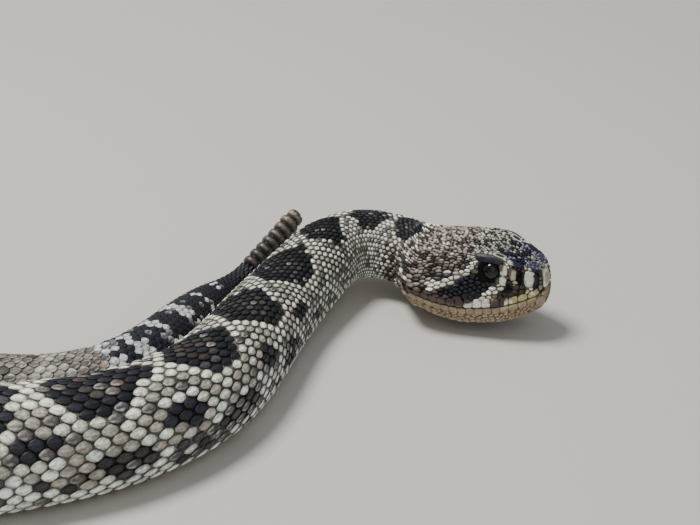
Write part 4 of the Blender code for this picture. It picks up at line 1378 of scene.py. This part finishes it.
def buildRattle():
    form = rattleForm
    origin, back, right, up = [vectors[0] for vectors in bodyFrames(np.array([bodyLength]))]
    base = origin + up * float(halfWidth(bodyLength) * heightRatio(bodyLength)) + back * 0.00015
    pitch = form["length"] / form["lobes"]
    angle = np.arange(form["sides"]) / form["sides"] * 2 * math.pi
    rings, tints = [], []
    for i in range(form["lobes"]):
        wobble = 1 + 0.03 * (dice.random() - 0.5)
        for t, swell in form["lobe"]:
            size = (1 - form["taper"] * i) * swell * wobble
            if i == form["lobes"] - 1:
                size *= form["lastLobe"]
            rings.append((pitch * (i + t), size))
            age = (i / (form["lobes"] - 1)) ** 2
            dark = form["dark"] * (1 - age) + form["oldDark"] * age
            light = form["light"] * (1 - age) + form["oldLight"] * age
            # each lobe is lightened toward its crest as a painted highlight
            crest = math.exp(-(((t - form["highlightAt"]) / form["highlightSpread"]) ** 2))
            colour = dark * (1 - crest) + light * crest
            # rings in the grooves between lobes are darkened as painted shade
            tints.append(colour * (0.3 if swell < form["shadeBelowSwell"] else 1.0))
    rings.append((form["length"] - 0.0003, form["tip"] + 0.1))
    tints.append(form["oldLight"])
    rings.append((form["length"], form["tip"] * 0.4))
    tints.append(form["oldLight"])
    points, colours = [], []
    for (along, size), tint in zip(rings, tints):
        furrow = 1 - form["furrowDepth"] * np.exp(-(np.cos(angle) ** 2) / form["furrowSpread"])
        rough = 1 + 0.02 * (dice.random(len(angle)) - 0.5)
        x = np.sin(angle) * form["halfWidth"] * size * furrow * rough
        z = np.cos(angle) * form["halfHeight"] * size * rough
        points.append(base + back * along + x[:, None] * right + z[:, None] * up)
        # the rattle's upper side is lightened as painted light, and its side furrows are darkened as painted
        # shade
        top = 0.8 + 0.35 * np.clip(np.cos(angle), 0, 1)
        colours.append(tint[None] * (top * (1 - 0.35 * np.exp(-(np.cos(angle) ** 2) / 0.05)))[:, None])
    points = np.concatenate(points)
    tints = np.concatenate(colours)
    rows, sides = len(rings), form["sides"]
    index, _, quads = tubeFaces(rows, sides)
    quads = quads.reshape(-1, 4)
    corners = np.concatenate([quads.ravel(), index[0], index[-1][::-1]])
    faceSizes = np.concatenate([np.full(len(quads), 4), [sides, sides]])
    quadUv = tubeUv(np.linspace(0.02, 0.9, rows), np.linspace(0.02, 0.98, sides + 1)).reshape(-1, 2)
    ring = np.stack([np.cos(angle), np.sin(angle)], -1) * 0.02
    uv = np.concatenate([quadUv, ring + [0.95, 0.2], ring[::-1] + [0.95, 0.6]])
    return makeMesh("rattle_horn", points, faceSizes, corners, tints, uv)


# Materials: the scale's own colour, broken up by fine grain
finishParts = ("roughness", "specular", "grain", "grainDepth", "bump", "bumpScale")
finishes = {
    "trunk": (0.52, 0.35, 900.0, 0.35, 0.00010, 1500.0),
    "head": (0.46, 0.4, 1200.0, 0.35, 0.00008, 2200.0),
    "skin": (0.75, 0.25, 700.0, 0.3, 0.00008, 1600.0),
    "gloss": (0.10, 0.4, 900.0, 0.1, 0.0, 900.0),
    "horn": (0.38, 0.5, 1300.0, 0.6, 0.00012, 1800.0),
}


def addNode(tree, kind, **values):
    node = tree.nodes.new("ShaderNode" + kind)
    for name, value in values.items():
        node.inputs[name].default_value = value
    return node


def makeMaterial(name, finish):
    material = bpy.data.materials.new(name)
    material.use_nodes = True
    tree = material.node_tree
    link = tree.links.new
    shader = tree.nodes["Principled BSDF"]
    shader.inputs["Roughness"].default_value = finish["roughness"]
    shader.inputs["Specular IOR Level"].default_value = finish["specular"]
    tint = addNode(tree, "Attribute")
    tint.attribute_name = tintLayer
    spot = addNode(tree, "TexCoord")
    grain = addNode(tree, "TexNoise", Scale=finish["grain"], Detail=3.0)
    depth = finish["grainDepth"]
    limits = {"From Min": 0.3, "From Max": 0.7, "To Min": 1 - depth, "To Max": 1 + depth}
    span = addNode(tree, "MapRange", **limits)
    blend = addNode(tree, "VectorMath")
    blend.operation = "SCALE"
    link(spot.outputs["Object"], grain.inputs["Vector"])
    link(grain.outputs["Fac"], span.inputs["Value"])
    link(tint.outputs["Color"], blend.inputs[0])
    link(span.outputs["Result"], blend.inputs["Scale"])
    link(blend.outputs["Vector"], shader.inputs["Base Color"])
    if finish["bump"] > 0:
        fine = addNode(tree, "TexNoise", Scale=finish["bumpScale"], Detail=2.0)
        bump = addNode(tree, "Bump", Strength=0.5, Distance=finish["bump"])
        link(spot.outputs["Object"], fine.inputs["Vector"])
        link(fine.outputs["Fac"], bump.inputs["Height"])
        link(bump.outputs["Normal"], shader.inputs["Normal"])
    return material


def dress(obj, finish, nodes=()):
    if finish not in bpy.data.materials:
        makeMaterial(finish, dict(zip(finishParts, finishes[finish])))
    obj.data.materials.append(bpy.data.materials[finish])
    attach(obj, "root")
    if nodes:
        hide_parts(*nodes)


# Camera, light and floor
studio = {
    "cameraPlace": (0.168904, -0.469856, 0.276728),
    "lookDown": math.radians(26.0),
    "lens": 85.0,
    "sensor": 36.0,
    "sky": paint(226, 232, 240),
    "skyStrength": 0.42,
    "floor": paint(206, 202, 194),
    "floorSize": 12.0,
    "floorRoughness": 0.8,
    "keyPlace": (-0.35, 0.10, 1.30),
    "keyAim": (0.0, 0.0, 0.0),
    "keySize": 0.50,
    "keyPower": 21.0,
    "keyColour": (1.0, 0.99, 0.97),
    "fillPlace": (0.55, -1.10, 0.75),
    "fillSize": 1.6,
    "fillPower": 3.0,
}


def setStudio():
    scene = bpy.context.scene
    camera = bpy.data.objects.new("camera", bpy.data.cameras.new("camera"))
    camera.data.lens = studio["lens"]
    camera.data.sensor_width = studio["sensor"]
    camera.data.clip_start = 0.01
    camera.data.clip_end = 50.0
    camera.location = studio["cameraPlace"]
    camera.rotation_euler = (math.pi / 2 - studio["lookDown"], 0, 0)
    scene.collection.objects.link(camera)
    scene.camera = camera
    for name in ("key", "fill"):
        light = bpy.data.lights.new(name, "AREA")
        light.shape = "DISK"
        light.size = studio[name + "Size"]
        light.energy = studio[name + "Power"]
        light.color = studio["keyColour"]
        lamp = bpy.data.objects.new(name, light)
        lamp.location = studio[name + "Place"]
        aim = Vector(studio["keyAim"]) - lamp.location
        lamp.rotation_euler = aim.to_track_quat("-Z", "Y").to_euler()
        scene.collection.objects.link(lamp)
    world = bpy.data.worlds.new("studio")
    world.use_nodes = True
    shade = world.node_tree.nodes["Background"]
    shade.inputs["Color"].default_value = (*studio["sky"], 1)
    shade.inputs["Strength"].default_value = studio["skyStrength"]
    scene.world = world
    half = studio["floorSize"] / 2
    mesh = bpy.data.meshes.new("floor")
    square = [(-half, -half, 0), (half, -half, 0), (half, half, 0), (-half, half, 0)]
    mesh.from_pydata(square, [], [(0, 1, 2, 3)])
    floor = bpy.data.objects.new("floor", mesh)
    material = bpy.data.materials.new("floor")
    material.use_nodes = True
    surface = material.node_tree.nodes["Principled BSDF"]
    surface.inputs["Base Color"].default_value = (*studio["floor"], 1)
    surface.inputs["Roughness"].default_value = studio["floorRoughness"]
    mesh.materials.append(material)
    scene.collection.objects.link(floor)


setStudio()
print("camera, lights and floor set")
skin = buildSkin()
torsoNames = [f"torso_{k + 1}" for k in range(course["torsoLengths"])]
dress(skin, "skin", ["head", "lower_jaw", "neck", *torsoNames, "tail"])
for piece, node in buildTrunkScales():
    dress(piece, "trunk")
dress(buildBellyScutes(), "trunk")
for piece, slotName in zip(buildHeadScales(), ("head_skin", "jaw_skin")):
    dress(piece, "head")
dress(buildShields(), "head")
dress(buildRostral(), "head")
for side, node in ((-1, "eye_left"), (1, "eye_right")):
    dress(buildEye(side), "gloss", [node])
dress(buildRattle(), "horn", ["rattle"])
print("snake dressed")
